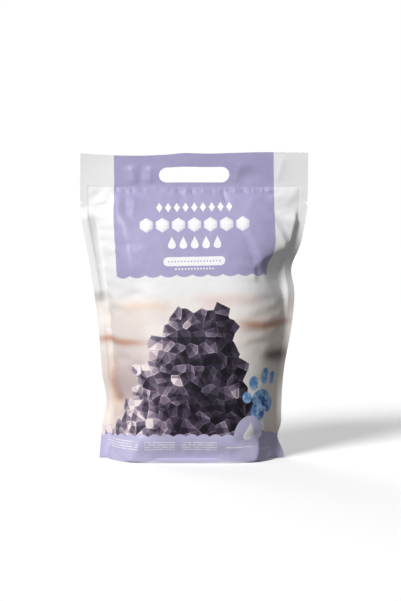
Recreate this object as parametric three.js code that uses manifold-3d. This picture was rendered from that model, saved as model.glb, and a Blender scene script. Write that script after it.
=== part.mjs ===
// Stand-up pouch of crystal cat litter, filled and sealed, with a carrying slot punched through its top seal.
// Millimetres, +Z up, front towards -Y. The origin is the middle of the base, on the floor.
//
// The pouch is two equal flat webs of film, welded along the sides and the top, and a gusset web folded between
// them at the foot. Film doesn't stretch, so at every height the front web is still as wide as when it lay flat.
// The fill sets how far front and back stand apart, and the outline narrows by the film that this takes up.
// The sealed pouch can't be seen into, so film and fill are one solid.
import * as THREE from 'three';
import { LoftGeometry } from 'three/addons/geometries/LoftGeometry.js';
import { mergeVertices } from 'three/addons/utils/BufferGeometryUtils.js';
import Module from 'manifold-3d';

// The empty pouch, laid flat
const flatWidth = 285;
const height = 384;
const sideSeal = 10;
const topSeal = 42;
const sealThickness = 0.8;

// The filled body: half the distance between front and back, at the floor, the belly and the shoulder
const halfDepthAtFloor = 52;
const halfDepthAtBelly = 58;
const halfDepthAtShoulder = 38;
const bellyHeight = 66;
const shoulderBelowSeal = 100;

// Above the fill the webs close on each other towards the top seal
const neckBelowSeal = 56;
const halfDepthAtNeck = 25;
const lipsBelowSeal = 24;
const halfDepthAtLips = 9.5;

// How square a section is: 2 is a plain bow, and more is a flat front that turns at soft corners
const squarenessAtFloor = 6;
const squarenessAtBelly = 5.6;
const squarenessAtShoulder = 5;
const squarenessAtSeal = 2.2;

// The foot: both webs stand on their lower seals, and the gusset sags to the floor between them
const footSealHeight = 7;
const gussetSag = 18;
const gussetRoll = 4;

// The carrying slot, punched through the top seal
const slotLength = 88;
const slotHeight = 19.8;
const slotAboveSealEdge = 4.8;

// The tear notches, in both side seals
const notchBelowSeal = 22;
const notchDepth = 3.6;
const notchMouth = 3;

// Where the side seals have buckled: side, height, reach up and down, and depth inwards, or outwards if minus
const buckles = [
  { side: 1, at: 239, reach: 22, depth: 7 },
  { side: 1, at: 176, reach: 60, depth: -5.5 },
  { side: 1, at: 26, reach: 14, depth: 7 },
  { side: -1, at: 75, reach: 23, depth: 4.7 },
];

// How finely the loft is cut
const pointsAcross = 36;
const rowsUp = 34;
const rowsAtFoot = [0, 3, footSealHeight, 12];
const arcSamples = 48;
const cutOverlap = 1;

const sealEdge = height - topSeal;
const filmToBody = flatWidth / 2 - sideSeal;

// A smooth curve through values that are given at rising heights.
function curveThrough(stations) {
  const heights = stations.map(([z]) => z);
  const values = stations.map(([, value]) => value);
  const curve = new THREE.CubicInterpolant(heights, values, 1);
  return (z) => curve.evaluate(z)[0];
}

const bodyHalfDepth = curveThrough([
  [0, halfDepthAtFloor],
  [bellyHeight, halfDepthAtBelly],
  [sealEdge - shoulderBelowSeal, halfDepthAtShoulder],
  [sealEdge - neckBelowSeal, halfDepthAtNeck],
  [sealEdge - lipsBelowSeal, halfDepthAtLips],
  [sealEdge, sealThickness / 2],
]);

const squareness = curveThrough([
  [0, squarenessAtFloor],
  [bellyHeight, squarenessAtBelly],
  [sealEdge - shoulderBelowSeal, squarenessAtShoulder],
  [sealEdge, squarenessAtSeal],
]);

// Half the distance between front and back at a height, never less than the welded film.
function halfDepth(z) {
  return z >= sealEdge ? sealThickness / 2 : Math.max(bodyHalfDepth(z), sealThickness / 2);
}

// Points are closer together towards the side seals, where the section turns most.
function spread(share) {
  return Math.sin(share * Math.PI / 2);
}

// How far the web stands out at a share of the way from the middle of the body to its side seal.
function bow(share, depth, square) {
  return depth * (1 - Math.pow(Math.abs(share), square));
}

// Length of film from the middle of a section to its side seal.
function filmLength(halfWidth, depth, square) {
  let length = 0;
  let last = new THREE.Vector2(0, depth);
  for (let i = 1; i <= arcSamples; i++) {
    const share = spread(i / arcSamples);
    const point = new THREE.Vector2(halfWidth * share, bow(share, depth, square));
    length += point.distanceTo(last);
    last = point;
  }
  return length;
}

// Half the body's width at a height, between its side seals: the width at which the film comes out right.
function bodyHalfWidth(z) {
  let low = 0;
  let high = filmToBody;
  for (let i = 0; i < 40; i++) {
    const middle = (low + high) / 2;
    if (filmLength(middle, halfDepth(z) - sealThickness / 2, squareness(z)) < filmToBody) {
      low = middle;
    } else {
      high = middle;
    }
  }
  return (low + high) / 2;
}

// How far the side seal of one side lies inwards of its smooth line at a height.
function buckle(side, z) {
  return buckles
    .filter((one) => one.side === side && Math.abs(z - one.at) < one.reach * 2)
    .reduce((sum, one) => {
      const turn = (z - one.at) / (one.reach * 2) * Math.PI / 2;
      return sum + one.depth * Math.cos(turn) ** 4;
    }, 0);
}

// The front of the body at a height, from left to right, inset by some distance, without its side seals.
function frontOfBody(z, inset, count) {
  const web = sealThickness / 2;
  const depth = Math.max(halfDepth(z) - inset, web);
  const halfWidth = bodyHalfWidth(z) - inset;
  const points = [];
  for (let i = 0; i <= count; i++) {
    const share = spread(2 * i / count - 1);
    const stand = bow(share, depth - web, squareness(z)) + web;
    const side = Math.sign(share);
    const x = share * (halfWidth - buckle(side, z));
    points.push(new THREE.Vector2(x, -stand));
  }
  return points;
}

// The front, and behind it the back, as one closed ring at a height.
function ringOf(front, z) {
  const back = front.map((point) => new THREE.Vector2(point.x, -point.y)).reverse();
  return [...front, ...back].map((point) => new THREE.Vector3(point.x, point.y, z));
}

// The whole section of the pouch at a height, side seals included.
function pouchRing(z) {
  const front = frontOfBody(z, 0, pointsAcross);
  const left = front[0].clone().setX(front[0].x - sideSeal);
  const right = front[pointsAcross].clone().setX(front[pointsAcross].x + sideSeal);
  return ringOf([left, ...front, right], z);
}

// Heights of the rows: close together at the foot, even up the body, and one at each edge of the top seal.
function rowHeights() {
  const first = rowsAtFoot[rowsAtFoot.length - 1];
  const body = [];
  for (let i = 1; i <= rowsUp; i++) {
    body.push(first + (sealEdge - first) * i / rowsUp);
  }
  return [...rowsAtFoot, ...body, height];
}

const wasm = await Module();
wasm.setup();

// A closed three.js geometry as a solid that can be cut.
function solid(geometry) {
  const bare = new THREE.BufferGeometry();
  bare.setAttribute('position', geometry.getAttribute('position'));
  bare.setIndex(geometry.index);
  const merged = mergeVertices(bare, 1e-4);
  return new wasm.Manifold(new wasm.Mesh({
    numProp: 3,
    vertProperties: merged.attributes.position.array,
    triVerts: new Uint32Array(merged.index.array),
  }));
}

// A solid back as a three.js geometry.
function geometryOf(cut) {
  const mesh = cut.getMesh();
  const geometry = new THREE.BufferGeometry();
  geometry.setAttribute('position', new THREE.BufferAttribute(mesh.vertProperties, mesh.numProp));
  geometry.setIndex(new THREE.BufferAttribute(mesh.triVerts, 1));
  const flat = geometry.toNonIndexed();
  flat.computeVertexNormals();
  return flat;
}

function loft(rings) {
  return solid(new LoftGeometry(rings, { capStart: true, capEnd: true }));
}

function filledPouch() {
  return loft(rowHeights().map(pouchRing));
}

// The hollow round the foot: between the lower seals, which stand on the floor, and the gusset, which sags to it.
function footHollow() {
  const count = pointsAcross / 2;
  const ring = (z, sectionHeight, inset) => ringOf(frontOfBody(sectionHeight, inset, count), z);
  const insideSeals = loft([
    ring(-cutOverlap, 0, sealThickness),
    ring(0, 0, sealThickness),
    ring(footSealHeight, footSealHeight, sealThickness),
  ]);
  const slope = (gussetSag - gussetRoll) / footSealHeight;
  const gusset = loft([
    ring(-2 * cutOverlap, 0, gussetSag),
    ring(0, 0, gussetSag),
    ring(footSealHeight / 2, footSealHeight / 2, gussetRoll + slope * footSealHeight / 4),
    ring(footSealHeight + cutOverlap, footSealHeight, sealThickness),
  ]);
  return insideSeals.subtract(gusset);
}

// The carrying slot as a cutter: a straight slot with round ends, through front and back.
function carryingSlot() {
  const radius = slotHeight / 2;
  const straight = slotLength / 2 - radius;
  const outline = new THREE.Shape();
  outline.moveTo(-straight, -radius);
  outline.lineTo(straight, -radius);
  outline.absarc(straight, 0, radius, -Math.PI / 2, Math.PI / 2);
  outline.lineTo(-straight, radius);
  outline.absarc(-straight, 0, radius, Math.PI / 2, Math.PI * 1.5);
  const through = 2 * halfDepthAtLips;
  const geometry = new THREE.ExtrudeGeometry(outline, { depth: through, bevelEnabled: false, curveSegments: 12 });
  geometry.translate(0, 0, -through / 2);
  geometry.rotateX(Math.PI / 2);
  geometry.translate(0, 0, sealEdge + slotAboveSealEdge + radius);
  return solid(geometry);
}

// One tear notch as a cutter: a small V, open at the edge of the pouch.
function tearNotch(side) {
  const z = sealEdge - notchBelowSeal;
  const edge = bodyHalfWidth(z) - buckle(side, z) + sideSeal;
  const outline = new THREE.Shape();
  outline.moveTo(edge - notchDepth, 0);
  outline.lineTo(edge + cutOverlap, -notchMouth / 2);
  outline.lineTo(edge + cutOverlap, notchMouth / 2);
  outline.closePath();
  const geometry = new THREE.ExtrudeGeometry(outline, { depth: 4 * sealThickness, bevelEnabled: false });
  geometry.translate(0, 0, -2 * sealThickness);
  geometry.rotateX(Math.PI / 2);
  if (side < 0) {
    geometry.rotateZ(Math.PI);
  }
  geometry.translate(0, 0, z);
  return solid(geometry);
}

const printedFilm = new THREE.MeshStandardMaterial({ color: '#eceaf0', roughness: 0.42, metalness: 0 });

const litterBag = new THREE.Mesh(
  geometryOf(
    filledPouch()
      .subtract(footHollow())
      .subtract(carryingSlot())
      .subtract(tearNotch(-1))
      .subtract(tearNotch(1)),
  ),
  printedFilm,
);
litterBag.name = 'litter_bag';

const pouch = new THREE.Group();
pouch.add(litterBag);

export default pouch;
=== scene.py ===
"""The looks of a filled stand-up pouch of crystal cat litter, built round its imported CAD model.

Lengths are metres. Up is +Z, the printed front faces -Y, and the origin is the middle of the base.
A place on the film is a pair, across and up: where that point of the film lay while the pouch was empty
and flat, from the middle of the web and from its foot. Folds, cuts and print are placed on the film, so
they stay together. A half size is half a width and half a height, and a span is a lowest and a highest value.
"""

import logging
import math
import random
from collections.abc import Callable
from dataclasses import dataclass
from enum import Enum, IntEnum
from functools import cached_property
from typing import NamedTuple

import bmesh
import bpy
import numpy as np
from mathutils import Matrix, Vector

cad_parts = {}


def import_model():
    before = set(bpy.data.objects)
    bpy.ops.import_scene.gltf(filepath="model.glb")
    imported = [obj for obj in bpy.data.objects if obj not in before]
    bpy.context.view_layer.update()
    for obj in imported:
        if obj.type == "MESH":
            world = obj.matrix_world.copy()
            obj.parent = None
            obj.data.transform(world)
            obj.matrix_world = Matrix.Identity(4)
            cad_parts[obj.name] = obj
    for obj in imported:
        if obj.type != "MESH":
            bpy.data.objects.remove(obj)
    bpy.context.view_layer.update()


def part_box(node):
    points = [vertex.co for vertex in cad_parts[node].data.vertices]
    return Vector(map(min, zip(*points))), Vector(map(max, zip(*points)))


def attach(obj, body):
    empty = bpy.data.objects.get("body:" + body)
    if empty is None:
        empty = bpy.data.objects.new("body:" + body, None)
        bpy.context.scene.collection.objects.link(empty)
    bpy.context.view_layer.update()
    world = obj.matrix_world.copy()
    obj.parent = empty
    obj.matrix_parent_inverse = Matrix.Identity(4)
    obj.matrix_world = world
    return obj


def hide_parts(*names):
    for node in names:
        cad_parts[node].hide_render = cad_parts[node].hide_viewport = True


MM = 0.001
TINY = 1e-6
LOG = logging.getLogger("pouch")

Place = tuple[float, float]
HalfSize = tuple[float, float]
Span = tuple[float, float]
Colour = tuple[float, float, float, float]


class Web(IntEnum):
    """The webs of film, each of which is one material slot of the pouch."""

    FRONT = 0
    BACK = 1
    GUSSET = 2
    CUT_EDGE = 3


class Side(IntEnum):
    """The two sides of the pouch, seen from the front."""

    LEFT = -1
    RIGHT = 1


class Grip(Enum):
    """What a fold takes hold of: one web, or the welded film through and through."""

    FRONT = "front"
    BACK = "back"
    THROUGH = "through"


def curve_through(stations: list[Place], place: np.ndarray) -> np.ndarray:
    """Follow a smooth curve through values given at rising places.

    Args:
        stations: pairs of a place and the value there.
        place: where the curve is wanted.

    Returns:
        The values at those places.
    """
    at = np.array([station[0] for station in stations])
    value = np.array([station[1] for station in stations])
    place = np.clip(np.asarray(place, float), at[0], at[-1])
    after = np.clip(np.searchsorted(at, place, side="right"), 1, len(at) - 1)
    before = after - 1
    earlier = np.where(before > 0, before - 1, after)
    later = np.where(after < len(at) - 1, after + 1, before)
    gap = at[after] - at[before]
    weight_before = 0.5 * gap / (at[before] - np.where(before > 0, at[earlier], at[after]))
    weight_after = 0.5 * gap / (np.where(after < len(at) - 1, at[later], at[before]) - at[after])
    share = (place - at[before]) / gap
    square, cube = share**2, share**3
    return (
        weight_before * (-cube + 2 * square - share) * value[earlier]
        + ((1 + weight_before) * cube + (-1.5 - 2 * weight_before) * square
           + (-0.5 + weight_before) * share + 1) * value[before]
        + ((-1 - weight_after) * cube + (1.5 + weight_after) * square + 0.5 * share) * value[after]
        + weight_after * (cube - square) * value[later]
    )


def length_along(x: np.ndarray, y: np.ndarray) -> np.ndarray:
    """Length along a line of points, from its first point to each of them."""
    return np.concatenate([[0.0], np.cumsum(np.hypot(np.diff(x), np.diff(y)))])


def eased(share: np.ndarray) -> np.ndarray:
    """A rise from 0 to 1 that starts and ends softly."""
    share = np.clip(share, 0.0, 1.0)
    return share * share * (3 - 2 * share)


def even_steps(stops: list[float], step: float) -> np.ndarray:
    """Places from the first stop to the last, with each stop among them, about a step apart.

    Args:
        stops: the places that are kept, rising.
        step: the distance that is aimed at.

    Returns:
        The places, rising.
    """
    places = [np.array([stops[0]])]
    for start, end in zip(stops, stops[1:]):
        count = max(1, round((end - start) / step))
        places.append(np.linspace(start, end, count + 1)[1:])
    return np.concatenate(places)


@dataclass(frozen=True)
class Buckle:
    """A place where a side seal has buckled inwards, or outwards if its depth is negative."""

    side: Side
    height: float
    reach: float
    depth: float

    def at(self, height: float) -> float:
        """How far inwards the seal lies at a height."""
        turn = (height - self.height) / (2 * self.reach) * math.pi / 2
        return self.depth * math.cos(turn) ** 4 if abs(turn) < math.pi / 2 else 0.0


@dataclass(frozen=True)
class FilledForm:
    """The form that the flat pouch takes up when it is filled.

    Film doesn't stretch, so each section is as long as the flat web was wide, and the outline narrows
    by what the depth takes up.
    """

    width: float
    height: float
    belly_half_depth: float
    side_seal: float = 10 * MM
    top_seal: float = 42 * MM
    thickness: float = 0.8 * MM
    floor_half_depth: float = 52 * MM
    shoulder_half_depth: float = 38 * MM
    belly_height: float = 66 * MM
    shoulder_below_seal: float = 100 * MM
    neck_below_seal: float = 56 * MM
    neck_half_depth: float = 25 * MM
    lips_below_seal: float = 24 * MM
    lips_half_depth: float = 9.5 * MM
    squareness_at_floor: float = 6.0
    squareness_at_belly: float = 5.6
    squareness_at_shoulder: float = 5.0
    squareness_at_seal: float = 2.2
    buckles: tuple[Buckle, ...] = (
        Buckle(Side.RIGHT, 239 * MM, 22 * MM, 7 * MM),
        Buckle(Side.RIGHT, 176 * MM, 60 * MM, -5.5 * MM),
        Buckle(Side.RIGHT, 26 * MM, 14 * MM, 7 * MM),
        Buckle(Side.LEFT, 75 * MM, 23 * MM, 4.7 * MM),
    )
    samples_across: int = 400
    samples_up: int = 2000
    halvings: int = 40

    @property
    def seal_edge(self) -> float:
        """Height of the lower edge of the top seal."""
        return self.height - self.top_seal

    @property
    def body_film(self) -> float:
        """Film from the middle of a web to the inner edge of its side seal."""
        return self.width / 2 - self.side_seal

    @cached_property
    def film_height(self) -> float:
        """How tall the flat web is."""
        return float(self.film_up(self.height))

    @property
    def seal_up(self) -> float:
        """Film from the foot to the lower edge of the top seal."""
        return self.film_height - self.top_seal

    def half_depth(self, height: np.ndarray) -> np.ndarray:
        """Half the distance between front and back at some heights.

        Args:
            height: the heights.

        Returns:
            The half depth at each of them.
        """
        stations = [
            (0.0, self.floor_half_depth),
            (self.belly_height, self.belly_half_depth),
            (self.seal_edge - self.shoulder_below_seal, self.shoulder_half_depth),
            (self.seal_edge - self.neck_below_seal, self.neck_half_depth),
            (self.seal_edge - self.lips_below_seal, self.lips_half_depth),
            (self.seal_edge, self.thickness / 2),
        ]
        return np.maximum(curve_through(stations, height), self.thickness / 2)

    def squareness(self, height: float) -> float:
        """How square a section is: 2 is a plain bow, and more is a flat front with soft corners.

        Args:
            height: the section's height.

        Returns:
            The power of the section's bow.
        """
        stations = [
            (0.0, self.squareness_at_floor),
            (self.belly_height, self.squareness_at_belly),
            (self.seal_edge - self.shoulder_below_seal, self.squareness_at_shoulder),
            (self.seal_edge, self.squareness_at_seal),
        ]
        return float(curve_through(stations, height))

    def film_up(self, height: np.ndarray) -> np.ndarray:
        """Film from the foot up to some heights, along the middle of a web."""
        fine = np.linspace(0, self.height, self.samples_up)
        return np.interp(height, fine, length_along(fine, self.half_depth(fine)))

    def height_at(self, up: np.ndarray) -> np.ndarray:
        """Heights of some places up the film."""
        fine = np.linspace(0, self.height, self.samples_up)
        return np.interp(up, self.film_up(fine), fine)

    def bow(self, share: np.ndarray, depth: float, square: float) -> np.ndarray:
        """How far the web stands out at a share of the way from its middle to its side seal."""
        return depth * (1 - np.abs(share) ** square)

    def section(self, height: float, across: np.ndarray, inset: float = 0.0) -> tuple[np.ndarray, np.ndarray]:
        """Lay the front web round the fill at a height, as wide as the film comes out right.

        Args:
            height: the section's height.
            across: places across the film.
            inset: how far inside the film the section runs.

        Returns:
            How far those places lie to the right, and how far they stand out from the middle plane.
        """
        web = self.thickness / 2
        square = self.squareness(height)
        depth = float(self.half_depth(height)) - web
        share = np.sin(np.linspace(0, math.pi / 2, self.samples_across))
        stand = self.bow(share, depth, square)
        low, high = 0.0, self.body_film
        for _ in range(self.halvings):
            half_width = (low + high) / 2
            if length_along(share * half_width, stand)[-1] < self.body_film:
                low = half_width
            else:
                high = half_width
        half_width = (low + high) / 2
        side = np.sign(across)
        placed = side * np.interp(np.abs(across), length_along(share * half_width, stand), share)
        buckled = {
            seal: sum(buckle.at(height) for buckle in self.buckles if buckle.side == seal) for seal in Side
        }
        reach = half_width - inset - np.where(side < 0, buckled[Side.LEFT], buckled[Side.RIGHT])
        in_seal = np.maximum(np.abs(across) - self.body_film, 0.0)
        return placed * reach + side * in_seal, self.bow(placed, max(depth - inset, 0.0), square) + web


def vertex_places(mesh: bpy.types.Mesh, value: str = "co") -> np.ndarray:
    """The places of a mesh's vertices, or another three numbers of each, as rows."""
    places = np.zeros(len(mesh.vertices) * 3, np.float32)
    mesh.vertices.foreach_get(value, places)
    return places.reshape(-1, 3).astype(float)


def move_vertices(mesh: bpy.types.Mesh, places: np.ndarray) -> None:
    """Put a mesh's vertices where some rows say."""
    mesh.vertices.foreach_set("co", places.astype(np.float32).ravel())
    mesh.update()


def film_places(mesh: bpy.types.Mesh, form: FilledForm) -> tuple[np.ndarray, np.ndarray]:
    """Where each vertex of the pouch lies on the flat film, across and up.

    Args:
        mesh: the pouch's mesh, with its film map.
        form: the form that it is folded to.

    Returns:
        The vertices' places across, and their places up.
    """
    vertex_of_corner = np.zeros(len(mesh.loops), np.int32)
    mesh.loops.foreach_get("vertex_index", vertex_of_corner)
    corner_place = np.zeros(len(mesh.loops) * 2, np.float32)
    mesh.uv_layers["film"].uv.foreach_get("vector", corner_place)
    place = np.zeros((len(mesh.vertices), 2))
    place[vertex_of_corner] = corner_place.reshape(-1, 2).astype(float)
    return (place[:, 0] - 0.5) * form.width, place[:, 1] * form.film_height


@dataclass(frozen=True)
class Settling:
    """A short cloth simulation, in which the film settles on its fill while its seals are held."""

    frames: int = 22
    pressure: float = 60.0
    tension: float = 15.0
    bending: float = 0.25
    mass: float = 0.3
    air_damping: float = 1.0
    slack: float = 0.012
    quality: int = 5
    cap: float = 7 * MM

    def lay_cloth(self, piece: bpy.types.Object, flat: np.ndarray, held: np.ndarray) -> bpy.types.Modifier:
        """Give the pouch its cloth modifier, with the flat film as its rest shape and its seals held.

        Args:
            piece: the pouch, in its filled form.
            flat: its vertices as the flat film has them.
            held: how firmly each vertex is held, from 0 to 1.

        Returns:
            The cloth modifier.
        """
        piece.shape_key_add(name="filled")
        pattern = piece.shape_key_add(name="flat")
        pattern.data.foreach_set("co", flat.astype(np.float32).ravel())
        seals = piece.vertex_groups.new(name="seals")
        for firmness in np.unique(held):
            seals.add(np.flatnonzero(held == firmness).tolist(), float(firmness), "REPLACE")
        cloth = piece.modifiers.new("film", "CLOTH")
        film = cloth.settings
        film.quality = self.quality
        film.mass = self.mass
        film.air_damping = self.air_damping
        film.tension_stiffness = film.compression_stiffness = self.tension
        film.shear_stiffness = self.tension / 2
        film.bending_stiffness = self.bending
        film.rest_shape_key = pattern
        film.shrink_min = -self.slack
        film.vertex_group_mass = seals.name
        film.use_pressure = True
        film.uniform_pressure_force = self.pressure
        film.effector_weights.gravity = 0
        cloth.collision_settings.use_collision = False
        cloth.point_cache.frame_start = 1
        cloth.point_cache.frame_end = self.frames
        return cloth

    def run(self, piece: bpy.types.Object, flat: np.ndarray, held: np.ndarray) -> None:
        """Let the film settle.

        Args:
            piece: the pouch, in its filled form.
            flat: its vertices as the flat film has them, which gives the film its lengths.
            held: how firmly each vertex is held, from 0 to 1.
        """
        start = vertex_places(piece.data)
        cloth = self.lay_cloth(piece, flat, held)
        scene = bpy.context.scene
        for frame in range(1, self.frames + 1):
            scene.frame_set(frame)
        moved = vertex_places(piece.evaluated_get(bpy.context.evaluated_depsgraph_get()).data) - start
        piece.modifiers.remove(cloth)
        piece.shape_key_clear()
        piece.vertex_groups.clear()
        scene.frame_set(1)
        length = np.linalg.norm(moved, axis=1, keepdims=True)
        kept = self.cap * np.tanh(length / self.cap) / np.maximum(length, TINY * MM)
        LOG.info("film settled by up to %.1f mm, %.2f mm on average", length.max() / MM, length.mean() / MM)
        move_vertices(piece.data, start + moved * kept)


@dataclass(frozen=True)
class Crease:
    """A fold in the film along a line that runs up it.

    The film lifts along the line, or is pressed in if the lift is negative. The fold falls away over one
    distance on its left and another on its right, and it may bend to its left.
    """

    grip: Grip
    start: Place
    end: Place
    lift: float
    left: float
    right: float
    bend: float = 0.0
    fade: float = 0.3
    crown: float = 0.25

    def lift_at(self, across: np.ndarray, up: np.ndarray) -> np.ndarray:
        """How far the film lifts at some places on it.

        Args:
            across: the places across the film.
            up: the same places up the film.

        Returns:
            The lift at each of them.
        """
        run = (self.end[0] - self.start[0], self.end[1] - self.start[1])
        length = math.hypot(*run)
        along = ((across - self.start[0]) * run[0] + (up - self.start[1]) * run[1]) / length**2
        beside = ((up - self.start[1]) * run[0] - (across - self.start[0]) * run[1]) / length
        inside = np.clip(along, 0.0, 1.0)
        beside = beside - 4 * self.bend * inside * (1 - inside)
        reach = np.where(beside > 0, self.left, self.right)
        profile = np.exp(self.crown - np.hypot(beside / reach, self.crown))
        return self.lift * profile * eased(along / self.fade) * eased((1 - along) / self.fade)


@dataclass(frozen=True)
class Swell:
    """A soft rise of the film round a place, or a dent if its lift is negative."""

    grip: Grip
    at: Place
    across: float
    up: float
    lift: float
    turn: float = 0.0

    def lift_at(self, across: np.ndarray, up: np.ndarray) -> np.ndarray:
        """How far the film lifts at some places on it.

        Args:
            across: the places across the film.
            up: the same places up the film.

        Returns:
            The lift at each of them.
        """
        dx, dy = across - self.at[0], up - self.at[1]
        cosine, sine = math.cos(self.turn), math.sin(self.turn)
        return self.lift * np.exp(
            -(((dx * cosine + dy * sine) / self.across) ** 2) - ((dy * cosine - dx * sine) / self.up) ** 2
        )


def fold(grip: Grip, start: Place, end: Place, lift: float, left: float, right: float, bend: float = 0.0,
         fade: float = 0.3) -> Crease:
    """A crease with its sizes in millimetres.

    Args:
        grip: what the fold takes hold of.
        start: the place where it starts.
        end: the place where it ends.
        lift: how far the film lifts along it.
        left: how far it reaches to its left.
        right: how far it reaches to its right.
        bend: how far it bends to its left.
        fade: the share of its length that each end fades over.

    Returns:
        The crease.
    """
    return Crease(
        grip, (start[0] * MM, start[1] * MM), (end[0] * MM, end[1] * MM), lift * MM, left * MM, right * MM,
        bend * MM, fade,
    )


def swell(grip: Grip, at: Place, across: float, up: float, lift: float, turn: float = 0.0) -> Swell:
    """A swell with its sizes in millimetres.

    Args:
        grip: what the swell takes hold of.
        at: its middle.
        across: how far it reaches across.
        up: how far it reaches up.
        lift: how far the film lifts.
        turn: how far it is turned.

    Returns:
        The swell.
    """
    return Swell(grip, (at[0] * MM, at[1] * MM), across * MM, up * MM, lift * MM, turn)


@dataclass(frozen=True)
class Handling:
    """The folds and dents that filling, sealing and standing on a shelf have left in the film."""

    seed: int = 7
    pucker_count: int = 19
    pucker_reach: float = 102 * MM
    pucker_top: float = 350 * MM
    pucker_lift: float = 1.0 * MM
    pucker_place: Span = (0.2, 0.8)
    pucker_length: Span = (8, 17)
    pucker_strength: Span = (0.5, 1.3)
    pucker_slant: Span = (-2, 2)
    pucker_width: Span = (1.8, 3.4)

    def side_folds(self) -> list[Crease | Swell]:
        """The folds beside the side seals, where the seals have buckled.

        Returns:
            The folds.
        """
        return [
            fold(Grip.THROUGH, (-134, 196), (-135, 324), 8.5, 12, 6, fade=0.14),
            fold(Grip.THROUGH, (-135, 84), (-135, 190), 3.5, 12, 6, fade=0.25),
            fold(Grip.FRONT, (-124, 96), (-125, 322), -3.4, 5, 6, fade=0.14),
            fold(Grip.FRONT, (-129, 325), (-100, 328), -0.7, 2, 4),
            fold(Grip.FRONT, (-131, 70), (-96, 82), -2.5, 6, 8),
            fold(Grip.FRONT, (122, 258), (129, 322), 6.0, 16, 3, fade=0.3),
            fold(Grip.FRONT, (78, 248), (126, 272), 6.0, 24, 12, bend=2, fade=0.22),
            fold(Grip.FRONT, (79, 222), (82, 254), 2.4, 12, 4, fade=0.35),
            swell(Grip.FRONT, (124, 228), 30, 34, -7.0),
            fold(Grip.FRONT, (102, 31), (131, 27), -2.5, 5, 5),
        ]

    def panel_folds(self) -> list[Crease | Swell]:
        """The soft upright folds that run down from the top seal, and those that cross the back.

        Returns:
            The folds.
        """
        return [
            fold(Grip.FRONT, (-73, 208), (-95, 338), 4.6, 24, 12, bend=-2),
            fold(Grip.FRONT, (-75, 302), (-75, 346), 1.5, 4, 5, fade=0.4),
            fold(Grip.FRONT, (-84, 300), (-85, 348), -1.5, 4, 4, fade=0.4),
            fold(Grip.FRONT, (-94, 288), (-93, 346), 1.8, 5, 4, fade=0.4),
            fold(Grip.FRONT, (41, 324), (34, 349), -1.7, 1.8, 2.8, fade=0.25),
            fold(Grip.FRONT, (-22, 316), (-12, 346), -0.6, 4, 6),
            fold(Grip.FRONT, (62, 296), (74, 340), 0.8, 6, 9),
            fold(Grip.FRONT, (18, 262), (30, 300), 0.6, 9, 12),
            fold(Grip.BACK, (-70, 230), (-82, 342), 1.8, 7, 6, bend=3),
            fold(Grip.BACK, (50, 262), (62, 340), -1.4, 5, 8),
            fold(Grip.BACK, (96, 240), (100, 336), 1.6, 6, 5),
            fold(Grip.BACK, (-126, 120), (-128, 320), -3.5, 5, 9, bend=-3, fade=0.2),
            fold(Grip.BACK, (126, 150), (128, 318), -3.0, 9, 5, fade=0.2),
            fold(Grip.BACK, (-40, 60), (30, 96), 1.2, 12, 18),
            fold(Grip.BACK, (-98, 56), (-74, 206), 3.2, 18, 11, bend=5),
            fold(Grip.BACK, (84, 96), (102, 238), 3.6, 9, 20, bend=-4),
            fold(Grip.BACK, (-20, 196), (44, 236), 1.6, 9, 14),
            swell(Grip.BACK, (34, 168), 52, 30, -3.0, 0.3),
            swell(Grip.BACK, (-60, 140), 46, 40, -2.0),
            swell(Grip.BACK, (-30, 76), 60, 24, 2.0, -0.2),
        ]

    def foot_folds(self) -> list[Crease | Swell]:
        """The corners of the foot, where the front turns to the sides.

        Returns:
            The folds.
        """
        return [
            fold(Grip.FRONT, (74, -6), (101, 50), 3.6, 12, 6, bend=-2, fade=0.2),
            swell(Grip.FRONT, (112, 20), 13, 18, -4.5),
            fold(Grip.FRONT, (88, 33), (130, 36), 1.2, 3, 4),
            fold(Grip.FRONT, (-80, -6), (-58, 38), 2.8, 9, 13, fade=0.2),
            fold(Grip.FRONT, (-112, -2), (-118, 62), -2.0, 4, 5),
            swell(Grip.FRONT, (-8, 0), 42, 24, -3.4),
            swell(Grip.FRONT, (20, 26), 40, 14, 1.0),
            fold(Grip.BACK, (78, -6), (98, 48), 3.0, 10, 7, fade=0.2),
            fold(Grip.BACK, (-80, -6), (-96, 46), 3.0, 8, 10, fade=0.2),
            swell(Grip.BACK, (6, 0), 50, 26, -2.8),
        ]

    def header_waves(self) -> list[Crease | Swell]:
        """The waves of the top seal and the side seals, in which both webs move together.

        Returns:
            The waves.
        """
        return [
            swell(Grip.THROUGH, (-104, 396), 60, 46, -6.0),
            swell(Grip.THROUGH, (88, 396), 60, 44, 5.0),
            swell(Grip.THROUGH, (-6, 396), 34, 36, 1.5),
            swell(Grip.THROUGH, (-66, 368), 5, 13, -1.4),
            swell(Grip.THROUGH, (66, 364), 15, 9, -2.0),
            fold(Grip.THROUGH, (-74, 351), (-79, 382), 1.8, 6, 5),
            fold(Grip.THROUGH, (-54, 352), (-56, 380), 1.5, 5, 4),
            fold(Grip.THROUGH, (50, 352), (60, 384), 1.2, 5, 6),
            fold(Grip.THROUGH, (104, 354), (112, 392), 0.9, 5, 5),
            swell(Grip.THROUGH, (-143, 62), 11, 18, -2.5),
            swell(Grip.THROUGH, (150, 240), 13, 33, -12.0),
            swell(Grip.THROUGH, (150, 190), 13, 26, -7.0),
            swell(Grip.THROUGH, (150, 112), 13, 36, -7.0),
            swell(Grip.THROUGH, (150, 28), 13, 24, -10.0),
        ]

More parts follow.
